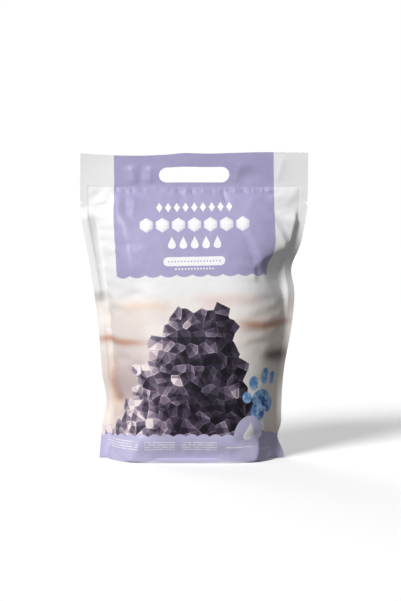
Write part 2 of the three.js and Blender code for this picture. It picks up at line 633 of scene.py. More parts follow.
    def puckers(self) -> list[Crease]:
        """The short puckers that hang from the lower edge of the top seal, in both webs.

        Returns:
            The puckers, first those of the front.
        """
        draw = random.Random(self.seed)
        made = []
        for grip in (Grip.FRONT, Grip.BACK):
            for number in range(self.pucker_count):
                share = (number + draw.uniform(*self.pucker_place)) / self.pucker_count
                across = (2 * share - 1) * self.pucker_reach
                length = draw.uniform(*self.pucker_length) * MM
                lift = self.pucker_lift * draw.uniform(*self.pucker_strength) * draw.choice((-1, 1))
                start = (across + draw.uniform(*self.pucker_slant) * MM, self.pucker_top - length)
                width = draw.uniform(*self.pucker_width) * MM
                made.append(Crease(grip, start, (across, self.pucker_top), lift, width, width))
        return made

    def folds(self) -> list[Crease | Swell]:
        """Every fold, from the largest to the smallest.

        Returns:
            The folds, in the order in which they are pressed in.
        """
        return [
            *self.side_folds(),
            *self.panel_folds(),
            *self.foot_folds(),
            *self.header_waves(),
            *self.puckers(),
        ]


class GussetRing(NamedTuple):
    """A turn of the folded foot: its height, the height of its outline, and how far inside that it lies."""

    height: float
    outline_height: float
    inset: float


class FloorRing(NamedTuple):
    """A turn of the gusset on the floor: its share of the depth before it, and how far it lifts off."""

    share: float
    lift: float


@dataclass(frozen=True)
class Gusset:
    """The web that is folded in at the foot: inside the foot seals, down to the floor and in to its fold."""

    rings: tuple[GussetRing, ...] = (
        GussetRing(0.0, 0.0, 0.8 * MM),
        GussetRing(7 * MM, 7 * MM, 0.8 * MM),
        GussetRing(5.2 * MM, 5.2 * MM, 3 * MM),
        GussetRing(2.2 * MM, 2.2 * MM, 7.5 * MM),
        GussetRing(0.4 * MM, 0.0, 13 * MM),
        GussetRing(0.0, 0.0, 20 * MM),
    )
    floor_rings: tuple[FloorRing, ...] = (FloorRing(0.5, 0.1 * MM), FloorRing(0.0, 1.2 * MM))
    fold_half_gap: float = 0.8 * MM


class FoldedFilm:
    """The webs while they are folded together, with its column, row and web noted on every vertex.

    Its rim turns a corner where the cosine between the rim's two ways is above SHARP_TURN.
    """

    NOTES = ("column", "row", "web")
    SHARP_TURN = -0.5

    def __init__(self, form: FilledForm, across: np.ndarray, up: np.ndarray) -> None:
        """Cut the front web as a flat grid, with its columns and rows at places across and up the film.

        Args:
            form: the form that the film is folded to.
            across: where its columns lie.
            up: where its rows lie.
        """
        self.form, self.across, self.up = form, across, up
        self.last_column, self.last_row = len(across) - 1, len(up) - 1
        self.bm = bmesh.new()
        bmesh.ops.create_grid(self.bm, x_segments=self.last_column, y_segments=self.last_row, size=0.5)
        self.column, self.row, self.web = (self.bm.verts.layers.int.new(name) for name in self.NOTES)
        for vert in self.bm.verts:
            vert[self.column] = round((vert.co.x + 0.5) * self.last_column)
            vert[self.row] = round((vert.co.y + 0.5) * self.last_row)
            vert[self.web] = Web.FRONT

    def facing(self, vert: bmesh.types.BMVert) -> int:
        """Which way along Y a vertex's web faces."""
        return -1 if vert[self.web] == Web.FRONT else 1

    def runs_across(self, edge: bmesh.types.BMEdge) -> bool:
        """Whether an edge runs from one column to another."""
        return edge.verts[0][self.column] != edge.verts[1][self.column]

    def lies_on(self, edge: bmesh.types.BMEdge, note: bmesh.types.BMLayerItem, number: int) -> bool:
        """Whether an edge lies along one column or one row."""
        return all(vert[note] == number for vert in edge.verts)

    def bridge(self, edges: list[bmesh.types.BMEdge], web: Web) -> None:
        """Close the gap between two lines of edges with faces of a web."""
        for face in bmesh.ops.bridge_loops(self.bm, edges=edges)["faces"]:
            face.material_index = web

    def wrap_webs(self) -> None:
        """Lay the back web behind the front one, and wrap both round the fill."""
        front = self.bm.verts[:] + self.bm.edges[:] + self.bm.faces[:]
        twin = bmesh.ops.duplicate(self.bm, geom=front)["geom"]
        faces = [part for part in twin if isinstance(part, bmesh.types.BMFace)]
        for vert in (part for part in twin if isinstance(part, bmesh.types.BMVert)):
            vert[self.web] = Web.BACK
        for face in faces:
            face.material_index = Web.BACK
        bmesh.ops.reverse_faces(self.bm, faces=faces)
        heights = self.form.height_at(self.up)
        sections = [self.form.section(height, self.across) for height in heights]
        for vert in self.bm.verts:
            x, stand = (part[vert[self.column]] for part in sections[vert[self.row]])
            vert.co = (x, self.facing(vert) * stand, heights[vert[self.row]])

    def join_rims(self) -> None:
        """Join the webs along the sides and the top, where they are cut together."""
        self.bm.edges.ensure_lookup_table()
        lines = ((self.column, 0), (self.column, self.last_column), (self.row, self.last_row))
        rim = [
            edge for edge in self.bm.edges
            if edge.is_boundary and any(self.lies_on(edge, note, number) for note, number in lines)
        ]
        self.bridge(rim, Web.CUT_EDGE)

    def fold_gusset(self, gusset: Gusset) -> None:
        """Close the ends of the side seals at the foot, and fold the gusset in between the foot seals.

        Args:
            gusset: how the gusset is folded.
        """
        body = np.flatnonzero(np.abs(self.across) <= self.form.body_film + TINY)
        foot = [edge for edge in self.bm.edges if edge.is_boundary and self.lies_on(edge, self.row, 0)]
        for low, high in ((0, body[0]), (body[-1], self.last_column)):
            self.bridge([
                edge for edge in foot
                if edge.is_boundary and self.runs_across(edge)
                and all(low <= vert[self.column] <= high for vert in edge.verts)
            ], Web.CUT_EDGE)
        loop = [edge for edge in self.bm.edges if edge.is_boundary]
        for number, ring in enumerate(gusset.rings):
            x, stand = self.form.section(ring.outline_height, self.across, ring.inset)
            loop, verts = self.grow(loop, Web.GUSSET if number else Web.CUT_EDGE)
            for vert in verts:
                vert.co = (x[vert[self.column]], self.facing(vert) * stand[vert[self.column]], ring.height)
        for share, lift in gusset.floor_rings:
            loop, verts = self.grow(loop, Web.GUSSET)
            for vert in verts:
                out = abs(vert.co.y)
                vert.co.y = math.copysign(max(out * share, min(out, gusset.fold_half_gap)), vert.co.y)
                vert.co.z = lift
        self.bridge([edge for edge in loop if self.runs_across(edge)], Web.GUSSET)

    def grow(self, loop: list[bmesh.types.BMEdge],
             web: Web) -> tuple[list[bmesh.types.BMEdge], set[bmesh.types.BMVert]]:
        """Grow the film inwards from an open loop.

        Args:
            loop: the edges of the loop.
            web: the web that the new faces belong to.

        Returns:
            The edges of the new open loop, and its vertices.
        """
        grown = bmesh.ops.extrude_edge_only(self.bm, edges=loop)["geom"]
        for face in (part for part in grown if isinstance(part, bmesh.types.BMFace)):
            face.material_index = web
        edges = [part for part in grown if isinstance(part, bmesh.types.BMEdge) and part.is_boundary]
        return edges, {vert for edge in edges for vert in edge.verts}

    def keep_rims_sharp(self) -> None:
        """Crease the edges along which the webs are cut, so that subdividing leaves them where they are."""
        crease = self.bm.edges.layers.float.new("crease_edge")
        for edge in self.bm.edges:
            webs = {face.material_index for face in edge.link_faces}
            if Web.CUT_EDGE in webs and len(webs) > 1:
                edge[crease] = 1.0
        rim = {vert for edge in self.bm.edges if edge[crease] for vert in edge.verts}
        corners = {vert for vert in rim if self.turns_sharply(vert, crease)}
        for edge in self.bm.edges:
            if all(vert in corners for vert in edge.verts):
                edge[crease] = 1.0

    def turns_sharply(self, vert: bmesh.types.BMVert, crease: bmesh.types.BMLayerItem) -> bool:
        """Whether the rim turns a corner at a vertex."""
        ways = [(edge.other_vert(vert).co - vert.co).normalized() for edge in vert.link_edges if edge[crease]]
        return len(ways) == 2 and ways[0].dot(ways[1]) > self.SHARP_TURN

    def lay_film_map(self) -> None:
        """Give the film a map of its own, from 0 to 1 across and up the flat web."""
        film = self.bm.loops.layers.uv.new("film")
        for corner in (corner for face in self.bm.faces for corner in face.loops):
            across, up = self.across[corner.vert[self.column]], self.up[corner.vert[self.row]]
            corner[film].uv = (across / self.form.width + 0.5, up / self.form.film_height)

    def mesh(self, name: str) -> bpy.types.Mesh:
        """The folded film as a smooth mesh.

        Args:
            name: the mesh's name.

        Returns:
            The mesh, after which the film can't be folded any further.
        """
        for face in self.bm.faces:
            face.smooth = True
        mesh = bpy.data.meshes.new(name)
        self.bm.to_mesh(mesh)
        self.bm.free()
        return mesh


@dataclass(frozen=True)
class CarryingSlot:
    """The carrying slot: a straight slot with round ends, punched through both webs of the top seal."""

    length: float = 88 * MM
    height: float = 19.8 * MM
    above_seal: float = 4.8 * MM
    margin: float = 20 * MM

    def measure(self, at: Place, seal_up: float) -> tuple[float, Place]:
        """Measure a place on the film against the slot's outline.

        Args:
            at: the place.
            seal_up: how far up the film the top seal begins.

        Returns:
            How far outside the outline it is, and the nearest place on the outline.
        """
        radius = self.height / 2
        straight = self.length / 2 - radius
        middle_up = seal_up + self.above_seal + radius
        core = min(max(at[0], -straight), straight)
        dx, dy = at[0] - core, at[1] - middle_up
        reach = math.hypot(dx, dy)
        if reach < TINY * MM:
            return -radius, (at[0], middle_up + radius)
        return reach - radius, (core + dx / reach * radius, middle_up + dy / reach * radius)

    def punch(self, mesh: bpy.types.Mesh, form: FilledForm) -> None:
        """Punch the slot along a clean outline, and close the film round it.

        Args:
            mesh: the fine film.
            form: the form that it is folded to.
        """
        across, up = film_places(mesh, form)
        bm = bmesh.new()
        bm.from_mesh(mesh)
        film = bm.loops.layers.uv["film"]
        spot = {
            vert: (across[vert.index], up[vert.index]) for vert in bm.verts
            if abs(across[vert.index]) < self.length / 2 + self.margin and up[vert.index] > form.seal_up
        }
        outside = {vert: self.measure(at, form.seal_up)[0] for vert, at in spot.items()}
        self.snap_to_outline(bm, outside, spot, form.seal_up)
        self.split_across_outline(outside)
        waste = [
            face for face in bm.faces if all(outside.get(vert, math.inf) <= TINY * MM for vert in face.verts)
        ]
        bmesh.ops.delete(bm, geom=waste, context="FACES")
        rims = [edge for edge in bm.edges if edge.is_boundary]
        for face in bmesh.ops.bridge_loops(bm, edges=rims)["faces"]:
            face.material_index = Web.CUT_EDGE
            face.smooth = True
        for corner in (corner for vert in spot if vert.is_valid for corner in vert.link_loops):
            at = spot[corner.vert]
            corner[film].uv = (at[0] / form.width + 0.5, at[1] / form.film_height)
        for edge in bm.edges:
            webs = {face.material_index for face in edge.link_faces}
            if Web.CUT_EDGE in webs and len(webs) > 1:
                edge.smooth = False
        bm.to_mesh(mesh)
        bm.free()

    def snap_to_outline(self, bm: bmesh.types.BMesh, outside: dict[bmesh.types.BMVert, float],
                        spot: dict[bmesh.types.BMVert, Place], seal_up: float) -> None:
        """Move the nearer end of every edge that crosses the slot's outline on to the outline.

        Args:
            bm: the film.
            outside: how far outside the outline each vertex near the slot is, which is kept current.
            spot: where each vertex near the slot lies on the film, which is kept current.
            seal_up: how far up the film the top seal begins.
        """
        for edge in bm.edges:
            first, second = edge.verts
            if first not in outside or second not in outside or outside[first] * outside[second] >= 0:
                continue
            vert = first if abs(outside[first]) <= abs(outside[second]) else second
            _, on_outline = self.measure(spot[vert], seal_up)
            vert.co.x += on_outline[0] - spot[vert][0]
            vert.co.z += on_outline[1] - spot[vert][1]
            spot[vert] = on_outline
            outside[vert] = 0.0

    def split_across_outline(self, outside: dict[bmesh.types.BMVert, float]) -> None:
        """Split each face that the outline crosses from corner to corner.

        Args:
            outside: how far outside the outline each vertex near the slot is.
        """
        faces = (face for vert in outside for face in vert.link_faces)
        near = [face for face in faces if all(vert in outside for vert in face.verts)]
        for face in (face for face in near if face.is_valid):
            signs = [outside[vert] for vert in face.verts]
            on_line = [vert for vert in face.verts if outside[vert] == 0.0]
            if min(signs) < 0 < max(signs) and len(on_line) == 2:
                bmesh.utils.face_split(face, *on_line)


@dataclass(frozen=True)
class TearNotches:
    """The tear notches, a small V in each side seal."""

    below_seal: float = 22 * MM
    depth: float = 3.6 * MM
    sharpness: float = 1.5

    def pull(self, across: np.ndarray, up: np.ndarray, form: FilledForm) -> np.ndarray:
        """How far inwards each vertex is pulled, so that the row nearest a notch opens into a V.

        Args:
            across: the vertices' places across the film.
            up: their places up the film.
            form: the form that the film is folded to.

        Returns:
            How far to the left each vertex moves, which is negative on the left side.
        """
        outer = np.abs(across) > form.body_film - TINY
        rows = np.unique(np.round(up[outer], 6))
        notch_row = rows[np.argmin(np.abs(rows - (form.seal_up - self.below_seal)))]
        depth_in = np.clip((form.width / 2 - np.abs(across)) / form.side_seal, 0.0, 1.0)
        pulled = np.sign(across) * self.depth * (1 - depth_in) ** self.sharpness
        return np.where(np.abs(up - notch_row) < 10 * TINY, pulled, 0.0)


@dataclass(frozen=True)
class Pouch:
    """The pouch itself: two webs of film welded along their edges, and a gusset folded in at the foot."""

    form: FilledForm
    foot_seal: float = 7 * MM
    film_step: float = 6.7 * MM
    gusset: Gusset = Gusset()
    seal_grip: float = 14 * MM
    subdivisions: int = 2
    settling: Settling = Settling()
    handling: Handling = Handling()
    weld_margin: float = 4 * MM
    slot: CarryingSlot = CarryingSlot()
    notches: TearNotches = TearNotches()
    foot_arch: float = 1.3 * MM
    foot_arch_reach: float = 8 * MM
    lean: float = 0.0083
    lean_height: float = 190 * MM
    edge_dips: tuple[Place, ...] = (
        (-143, 1.0), (-101, 3.6), (-67, 4.0), (-34, 2.6), (-14, 0.8),
        (16, 1.4), (46, 0.6), (83, -0.4), (143, 0.2),
    )
    name: str = "litter_pouch"

    def build(self) -> bpy.types.Object:
        """Make the pouch from its flat webs.

        Returns:
            The finished piece.
        """
        form = self.form
        half = form.width / 2
        across = even_steps([-half, -form.body_film, form.body_film, half], self.film_step)
        up = even_steps([0.0, self.foot_seal, form.seal_up, form.film_height], self.film_step)
        film = FoldedFilm(form, across, up)
        film.wrap_webs()
        film.join_rims()
        film.fold_gusset(self.gusset)
        film.keep_rims_sharp()
        film.lay_film_map()
        piece = bpy.data.objects.new(self.name, film.mesh(self.name))
        bpy.context.scene.collection.objects.link(piece)
        count = len(piece.data.vertices)
        LOG.info("folded the webs: %d vertices, film %.1f mm tall", count, form.film_height / MM)
        flat, held = self.flat_pattern(piece.data, across, up)
        self.settling.run(piece, flat, held)
        self.refine(piece)
        self.slot.punch(piece.data, form)
        self.shape_film(piece.data)
        return piece

    def flat_pattern(self, mesh: bpy.types.Mesh, across: np.ndarray,
                     up: np.ndarray) -> tuple[np.ndarray, np.ndarray]:
        """Read from the vertices' notes where they lie on the flat film, and clear the notes away.

        Args:
            mesh: the folded film.
            across: places of its columns across the film.
            up: places of its rows up the film.

        Returns:
            The vertices' places on the flat film, and how firmly the seals hold them, from 0 to 1.
        """
        notes = {}
        for name in FoldedFilm.NOTES:
            notes[name] = np.zeros(len(mesh.vertices), np.int32)
            mesh.attributes[name].data.foreach_get("value", notes[name])
            mesh.attributes.remove(mesh.attributes[name])
        web_half = self.form.thickness / 2
        at_across, at_up = across[notes["column"]], up[notes["row"]]
        stand = np.where(notes["web"] == Web.FRONT, -web_half, web_half)
        flat = np.stack([at_across, stand, at_up], axis=1)
        free_up = np.minimum(self.form.seal_up - at_up, at_up - self.foot_seal)
        free = np.minimum(self.form.body_film - np.abs(at_across), free_up)
        held = 1 - np.clip(free / self.seal_grip, 0, 1)
        held[notes["row"] == 0] = 1.0
        return flat, np.round(held, 2)

    def refine(self, piece: bpy.types.Object) -> None:
        """Subdivide the film, which rounds its folds.

        Args:
            piece: the pouch.
        """
        smooth = piece.modifiers.new("film", "SUBSURF")
        smooth.levels = smooth.render_levels = self.subdivisions
        smooth.uv_smooth = "NONE"
        with bpy.context.temp_override(object=piece, active_object=piece, selected_objects=[piece]):
            bpy.ops.object.modifier_apply(modifier=smooth.name)

    def vertices_of(self, mesh: bpy.types.Mesh, web: Web) -> np.ndarray:
        """Which vertices belong to a web.

        Args:
            mesh: the pouch's mesh.
            web: the web.

        Returns:
            Whether each vertex belongs to it.
        """
        belongs = np.zeros(len(mesh.vertices), bool)
        for face in mesh.polygons:
            if face.material_index == web:
                belongs[list(face.vertices)] = True
        return belongs

    def shape_film(self, mesh: bpy.types.Mesh) -> None:
        """Press the folds into the fine film, cut the tear notches and let the pouch lean as it stands.

        Args:
            mesh: the fine film, with its slot.
        """
        place = vertex_places(mesh)
        normal = vertex_places(mesh, "normal")
        across, up = film_places(mesh, self.form)
        webs = {Grip.FRONT: self.vertices_of(mesh, Web.FRONT), Grip.BACK: self.vertices_of(mesh, Web.BACK)}
        free = eased((self.form.body_film - np.abs(across)) / self.weld_margin)
        free *= eased((self.form.seal_up - up) / self.weld_margin)
        for one in self.handling.folds():
            lift = one.lift_at(across, up)
            if one.grip is Grip.THROUGH:
                place[:, 1] -= lift
            else:
                place += normal * (lift * free * webs[one.grip])[:, None]
        place[:, 2] = np.maximum(place[:, 2] - self.header_dip(across, up), 0.0)
        place[:, 2] += self.arch_under(across, up) * (webs[Grip.FRONT] | webs[Grip.BACK])
        place[:, 0] -= self.notches.pull(across, up, self.form)
        place[:, 0] += (place[:, 2] - self.lean_height) * self.lean
        move_vertices(mesh, place)

    def arch_under(self, across: np.ndarray, up: np.ndarray) -> np.ndarray:
        """How far the lower edge of a web stands off the floor between the corners of the foot."""
        span = np.clip(1 - (across / self.form.body_film) ** 2, 0.0, 1.0)
        return self.foot_arch * np.sqrt(span) * np.exp(-up / self.foot_arch_reach)

    def header_dip(self, across: np.ndarray, up: np.ndarray) -> np.ndarray:
        """How far the waves of the top seal pull its upper edge down."""
        stations = [(x * MM, dip * MM) for x, dip in self.edge_dips]
        share = np.clip((up - self.form.seal_up) / self.form.top_seal, 0.0, 1.0)
        return curve_through(stations, across) * share


def paint(red: int, green: int, blue: int) -> Colour:
    """A print colour, given from 0 to 255 as it is seen, as the linear colour that a shader takes."""
    parts = [part / 255 for part in (red, green, blue)]
    linear = [part / 12.92 if part < 0.04045 else ((part + 0.055) / 1.055) ** 2.4 for part in parts]
    return (*linear, 1.0)


def math_node(operation: str, swapped: bool = False) -> Callable[..., "Value"]:
    """Make an operator of Value, which adds one Math node.

    Args:
        operation: the node's operation.
        swapped: whether the value stands on the operator's right.

    Returns:
        The operator, as a method.
    """
    def work_out(value: "Value", *other: "Value | float") -> "Value":
        """Add the node and give back its output."""
        sides = (*other, value) if swapped else (value, *other)
        return value.sheet.math(operation, *sides)

    return work_out


class Value:
    """The output of a shader node. Sums with it add nodes, so a formula reads as it does for numbers."""

    def __init__(self, sheet: "Sheet", socket: bpy.types.NodeSocket) -> None:
        """Hold an output of a sheet's node."""
        self.sheet = sheet
        self.socket = socket

    __add__ = __radd__ = math_node("ADD")
    __mul__ = __rmul__ = math_node("MULTIPLY")
    __sub__ = math_node("SUBTRACT")
    __rsub__ = math_node("SUBTRACT", swapped=True)
    __truediv__ = math_node("DIVIDE")
    __pow__ = math_node("POWER")
    __gt__ = math_node("GREATER_THAN")
    __lt__ = math_node("LESS_THAN")
    __abs__ = math_node("ABSOLUTE")


Number = Value | float
Tint = Value | Colour


class Fade(NamedTuple):
    """A number that goes softly from its start to its end as another goes from low to high."""

    low: float
    high: float
    start: float = 0.0
    end: float = 1.0


class Sheet:
    """A node tree that is being written: each method adds a node and gives back its output."""

    SHARP = 0.35 * MM
    EDGE = Fade(-0.5, 0.5, 1.0, 0.0)

    def __init__(self, tree: bpy.types.NodeTree) -> None:
        """Write on a tree."""
        self.tree = tree

    @classmethod
    def group(cls, name: str, **takes: float) -> tuple["Sheet", list[Value]]:
        """Start a shader node group.

        Args:
            name: the group's name.
            takes: its inputs with their defaults, with underscores for the spaces of their names.

        Returns:
            The sheet, and the group's inputs to reckon with.
        """
        sheet = cls(bpy.data.node_groups.new(name, "ShaderNodeTree"))
        for label, default in takes.items():
            made = sheet.tree.interface.new_socket(
                label.replace("_", " "), in_out="INPUT", socket_type="NodeSocketFloat",
            )
            made.default_value = default
        inputs = sheet.node("NodeGroupInput").outputs
        return sheet, [Value(sheet, socket) for socket in inputs[:len(takes)]]

    def give(self, **values: Value) -> bpy.types.NodeTree:
        """Join values to the group's outputs, and give back the group.

        Args:
            values: the outputs' names, with the value of each.

        Returns:
            The group's node tree.
        """
        for label, value in values.items():
            kind = "NodeSocketColor" if value.socket.type == "RGBA" else "NodeSocketFloat"
            self.tree.interface.new_socket(label, in_out="OUTPUT", socket_type=kind)
        out = self.node("NodeGroupOutput")
        for label, value in values.items():
            self.feed(out.inputs[label], value)
        return self.tree

    def node(self, kind: str, **settings: object) -> bpy.types.Node:
        """Add a node.

        Args:
            kind: the node's type.
            settings: the node's own settings.

        Returns:
            The node.
        """
        made = self.tree.nodes.new(kind)
        for name, value in settings.items():
            setattr(made, name, value)
        return made

    def feed(self, socket: bpy.types.NodeSocket, value: Number | Tint) -> None:
        """Link a value to an input, or set the input to a plain number or colour.

        Args:
            socket: the input.
            value: what it takes.
        """
        if isinstance(value, Value):
            self.tree.links.new(value.socket, socket)
        else:
            socket.default_value = value

    def output(self, node: bpy.types.Node, label: str | int,
               *inputs: tuple[str | int, Number | Tint]) -> Value:
        """Feed a node's inputs, each given with its label, and give back one of its outputs.

        Args:
            node: the node.
            label: the output's name or number.
            inputs: the name or number of each input, with what it takes.

        Returns:
            The output.
        """
        for name, value in inputs:
            self.feed(node.inputs[name], value)
        return Value(self, node.outputs[label])

    def math(self, operation: str, *values: Number) -> Value:
        """Work out one sum."""
        return self.output(self.node("ShaderNodeMath", operation=operation), 0, *enumerate(values))

    def ramp(self, value: Number, fade: Fade) -> Value:
        """Read a fade at a value.

        Args:
            value: the number that the fade runs along.
            fade: the fade.

        Returns:
            The fade's number there.
        """
        labels = ("Value", "From Min", "From Max", "To Min", "To Max")
        made = self.node("ShaderNodeMapRange", interpolation_type="SMOOTHSTEP", clamp=True)
        return self.output(made, "Result", *zip(labels, (value, *fade)))

    def cover(self, outside: Value, blur: Number = SHARP) -> Value:
        """Turn a distance outside a shape into how far the shape covers a place."""
        return self.ramp(outside / blur, self.EDGE)

    def mix(self, share: Value, under: Tint, over: Tint) -> Value:
        """Lay one colour over another."""
        made = self.node("ShaderNodeMix", data_type="RGBA")
        return self.output(made, 2, (0, share), (6, under), (7, over))

    def spot(self, across: Number, up: Number, third: Number = 0.0) -> Value:
        """A place as a vector, for a texture."""
        return self.output(self.node("ShaderNodeCombineXYZ"), 0, *enumerate((across, up, third)))

    def parts(self, vector: Value) -> tuple[Value, ...]:
        """The three numbers of a vector or a colour."""
        made = self.node("ShaderNodeSeparateXYZ")
        self.feed(made.inputs[0], vector)
        return tuple(Value(self, socket) for socket in made.outputs)

    def noise(self, place: Value, per_metre: float, detail: float = 2.0, roughness: float = 0.5) -> Value:
        """Smooth noise round 0.5.

        Args:
            place: the place.
            per_metre: how many waves it has to a metre.
            detail: how many finer layers it has.
            roughness: how strong those are.

        Returns:
            The noise.
        """
        made = self.node("ShaderNodeTexNoise", noise_dimensions="3D")
        labels = ("Vector", "Scale", "Detail", "Roughness")
        return self.output(made, 0, *zip(labels, (place, per_metre, detail, roughness)))

    def cells(self, place: Value, per_metre: float, feature: str, *labels: str) -> list[Value]:
        """Some outputs of Voronoi cells in the plane.

        Args:
            place: the place.
            per_metre: how many cells there are to a metre.
            feature: what is measured of them.
            labels: the outputs that are wanted.

        Returns:
            Those outputs.
        """
        made = self.node("ShaderNodeTexVoronoi", voronoi_dimensions="2D", feature=feature)
        return [self.output(made, label, ("Vector", place), ("Scale", per_metre)) for label in labels]

    def use(self, tree: bpy.types.NodeTree, *values: Number) -> list[Value]:
        """Place a node group, feed its first inputs and give back its outputs.

        Args:
            tree: the group's node tree.
            values: what its first inputs take.

        Returns:
            The group's outputs.
        """
        made = self.node("ShaderNodeGroup", node_tree=tree)
        for socket, value in zip(made.inputs, values):
            self.feed(socket, value)
        return [Value(self, socket) for socket in made.outputs]


class FilmPlace(NamedTuple):
    """A place on the flat film, across and up in metres."""

    across: Number
    up: Number

    def turned(self, cosine: Number, sine: Number) -> "FilmPlace":
        """The same place in a frame that is turned, by the cosine and sine of the turn."""
        return FilmPlace(self.across * cosine + self.up * sine, self.up * cosine - self.across * sine)

    def seen_from(self, at: Place, turn: float = 0.0) -> "FilmPlace":
        """The same place measured from another one, along a crooked field if it is turned."""
        moved = FilmPlace(self.across - at[0], self.up - at[1])
        return moved.turned(math.cos(turn), math.sin(turn)) if turn else moved


class Motif(Enum):
    """The ornaments that stand in rows."""

    DIAMOND = "diamond"
    CRYSTAL = "crystal"
    DROP = "drop"
    DOT = "dot"


class Stencils:
    """The shapes that the print is made of, each a shader node group that is built once."""

    def __init__(self) -> None:
        """Build every stencil."""
        self.bar = self.cut_bar()
        self.row = self.cut_row()
        self.wave = self.cut_wave()
        self.oval = self.cut_oval()
        self.haze = self.cut_haze()
        self.lines = self.cut_lines()
        self.drop = self.cut_drop()
        self.motifs = {
            Motif.DIAMOND: self.cut_diamond(), Motif.CRYSTAL: self.cut_crystal(), Motif.DROP: self.drop,
            Motif.DOT: self.oval,
        }

    def blank(self, name: str, **more: float) -> tuple[Sheet, list[Value]]:
        """Start the stencil of a shape that has half a width and half a height."""
        return Sheet.group(name, Across=0.0, Up=0.0, Half_Width=5 * MM, Half_Height=5 * MM, **more)

    def cut_bar(self) -> bpy.types.NodeTree:
        """A straight bar with round corners.

        Returns:
            The stencil, a node group that gives a mask.
        """
        sheet, (across, up, half_width, half_height, corner) = self.blank("round_bar", Corner=0.0)
        beside = abs(across) - (half_width - corner)
        above = abs(up) - (half_height - corner)
        out_x, out_y = (sheet.math("MAXIMUM", part, 0.0) for part in (beside, above))
        beyond = sheet.math("SQRT", out_x * out_x + out_y * out_y)
        within = sheet.math("MINIMUM", sheet.math("MAXIMUM", beside, above), 0.0)
        return sheet.give(Mask=sheet.cover(beyond + within - corner))

    def cut_row(self) -> bpy.types.NodeTree:
        """A row of equal places, for a motif that repeats: where a point lies in its own place of the row.

        Returns:
            The node group, which gives the place across the motif, and whether it lies in the row.
        """
        sheet, (across, pitch, count) = Sheet.group("row_of_places", Across=0.0, Pitch=10 * MM, Count=5.0)
        length = pitch * count
        along = across + length * 0.5
        number = sheet.math("FLOOR", along / pitch)
        return sheet.give(Across=along - (number + 0.5) * pitch, Inside=(along > 0.0) * (along < length))

    def cut_wave(self) -> bpy.types.NodeTree:
        """A scalloped edge: how far the round lobes reach at a place along it."""
        sheet, (across, pitch, depth) = Sheet.group("scalloped_edge", Across=0.0, Pitch=19 * MM, Depth=3 * MM)
        return sheet.give(Reach=abs(sheet.math("COSINE", across / pitch * math.pi)) * depth)

    def cut_diamond(self) -> bpy.types.NodeTree:
        """A diamond that stands on its point."""
        sheet, (across, up, half_width, half_height) = self.blank("diamond")
        outside = abs(across) / half_width + abs(up) / half_height - 1.0
        return sheet.give(Mask=sheet.cover(outside * half_width))

    def cut_crystal(self) -> bpy.types.NodeTree:
        """A cut crystal with six sides, and how deep the shade of its facets is round its bright table.

        Returns:
            The stencil, a node group that gives a mask and the facets' shade.
        """
        end_slope, table_width, table_height = 0.55, 1.7, 1.45
        right_shade, lower_shade, table_light = 0.5, 0.3, -0.6
        sheet, (across, up, half_width, half_height) = self.blank("cut_crystal")
        x, y = across / half_width, up / half_height
        wide = abs(x)
        slope = wide * end_slope + abs(y)
        outside = sheet.math("MAXIMUM", wide, slope) - 1.0
        table = sheet.math("MAXIMUM", wide * table_width, slope * table_height) < 1.0
        facet = (x > 0.0) * right_shade + (y < 0.0) * lower_shade + table * table_light
        return sheet.give(Mask=sheet.cover(outside * half_width), Facet=sheet.math("MAXIMUM", facet, 0.0))

    def cut_drop(self) -> bpy.types.NodeTree:
        """A drop with its tip up.

        Returns:
            The stencil, a node group that gives a mask.
        """
        widest = 1.3
        sheet, (across, up, half_width, half_height) = self.blank("drop")
        y = up / half_height
        arc = sheet.math("SQRT", sheet.math("MAXIMUM", 1.0 - y * y, 0.0))
        reach = (1.0 - y) * arc * (1 / widest)
        outside = sheet.math("MAXIMUM", abs(across) / half_width - reach, abs(y) - 1.0)
        return sheet.give(Mask=sheet.cover(outside * half_width))

    def cut_oval(self) -> bpy.types.NodeTree:
        """An oval, which may be turned.

        Returns:
            The stencil, a node group that gives a mask.
        """
        sheet, takes = self.blank("oval", Turn=0.0, Blur=Sheet.SHARP)
        across, up, half_width, half_height, turn, blur = takes
        place = FilmPlace(across, up).turned(sheet.math("COSINE", turn), sheet.math("SINE", turn))
        x, y = place.across / half_width, place.up / half_height
        outside = sheet.math("SQRT", x * x + y * y) - 1.0
        return sheet.give(Mask=sheet.cover(outside * sheet.math("MINIMUM", half_width, half_height), blur))

    def cut_haze(self) -> bpy.types.NodeTree:
        """A blurred patch, as of something far out of focus."""
        sheet, (across, up, half_width, half_height) = self.blank("blurred_patch")
        x, y = abs(across / half_width), up / half_height
        return sheet.give(Mask=sheet.math("EXPONENT", (x ** 4.0 + y * y) * -1.0))

    def cut_lines(self) -> bpy.types.NodeTree:
        """A column of thin lines, each broken at odd places.

        Returns:
            The stencil, a node group that gives a mask.
        """
        thickness, dash, gaps = 0.2, 2.1 * MM, 0.2
        sheet, (across, up, half_width, half_height, pitch) = self.blank("broken_lines", Pitch=3 * MM)
        from_foot = up + half_height
        row = sheet.math("FLOOR", from_foot / pitch)
        line = sheet.cover(abs(from_foot - (row + 0.5) * pitch) - pitch * thickness)
        chance = sheet.node("ShaderNodeTexWhiteNoise", noise_dimensions="2D")
        cell = sheet.spot(sheet.math("FLOOR", across / dash), row)
        inked = sheet.output(chance, "Value", ("Vector", cell)) > gaps
        within = (abs(across) < half_width) * (abs(up) < half_height)
        return sheet.give(Mask=line * inked * within)


@dataclass(frozen=True)
class Ink:
    """An ink that is never quite even: its colour, how many blotches to a metre, and how pale they are."""

    colour: Colour
    blotches: float = 45.0
    paling: Fade = Fade(0.3, 0.7, 0.0, 0.06)

    def lay(self, press: "Press", place: FilmPlace) -> Value:
        """The ink's colour at a place."""
        sheet = press.sheet
        blotch = sheet.noise(sheet.spot(*place), self.blotches, detail=3.0)
        return sheet.mix(sheet.ramp(blotch, self.paling), self.colour, press.inks.white)


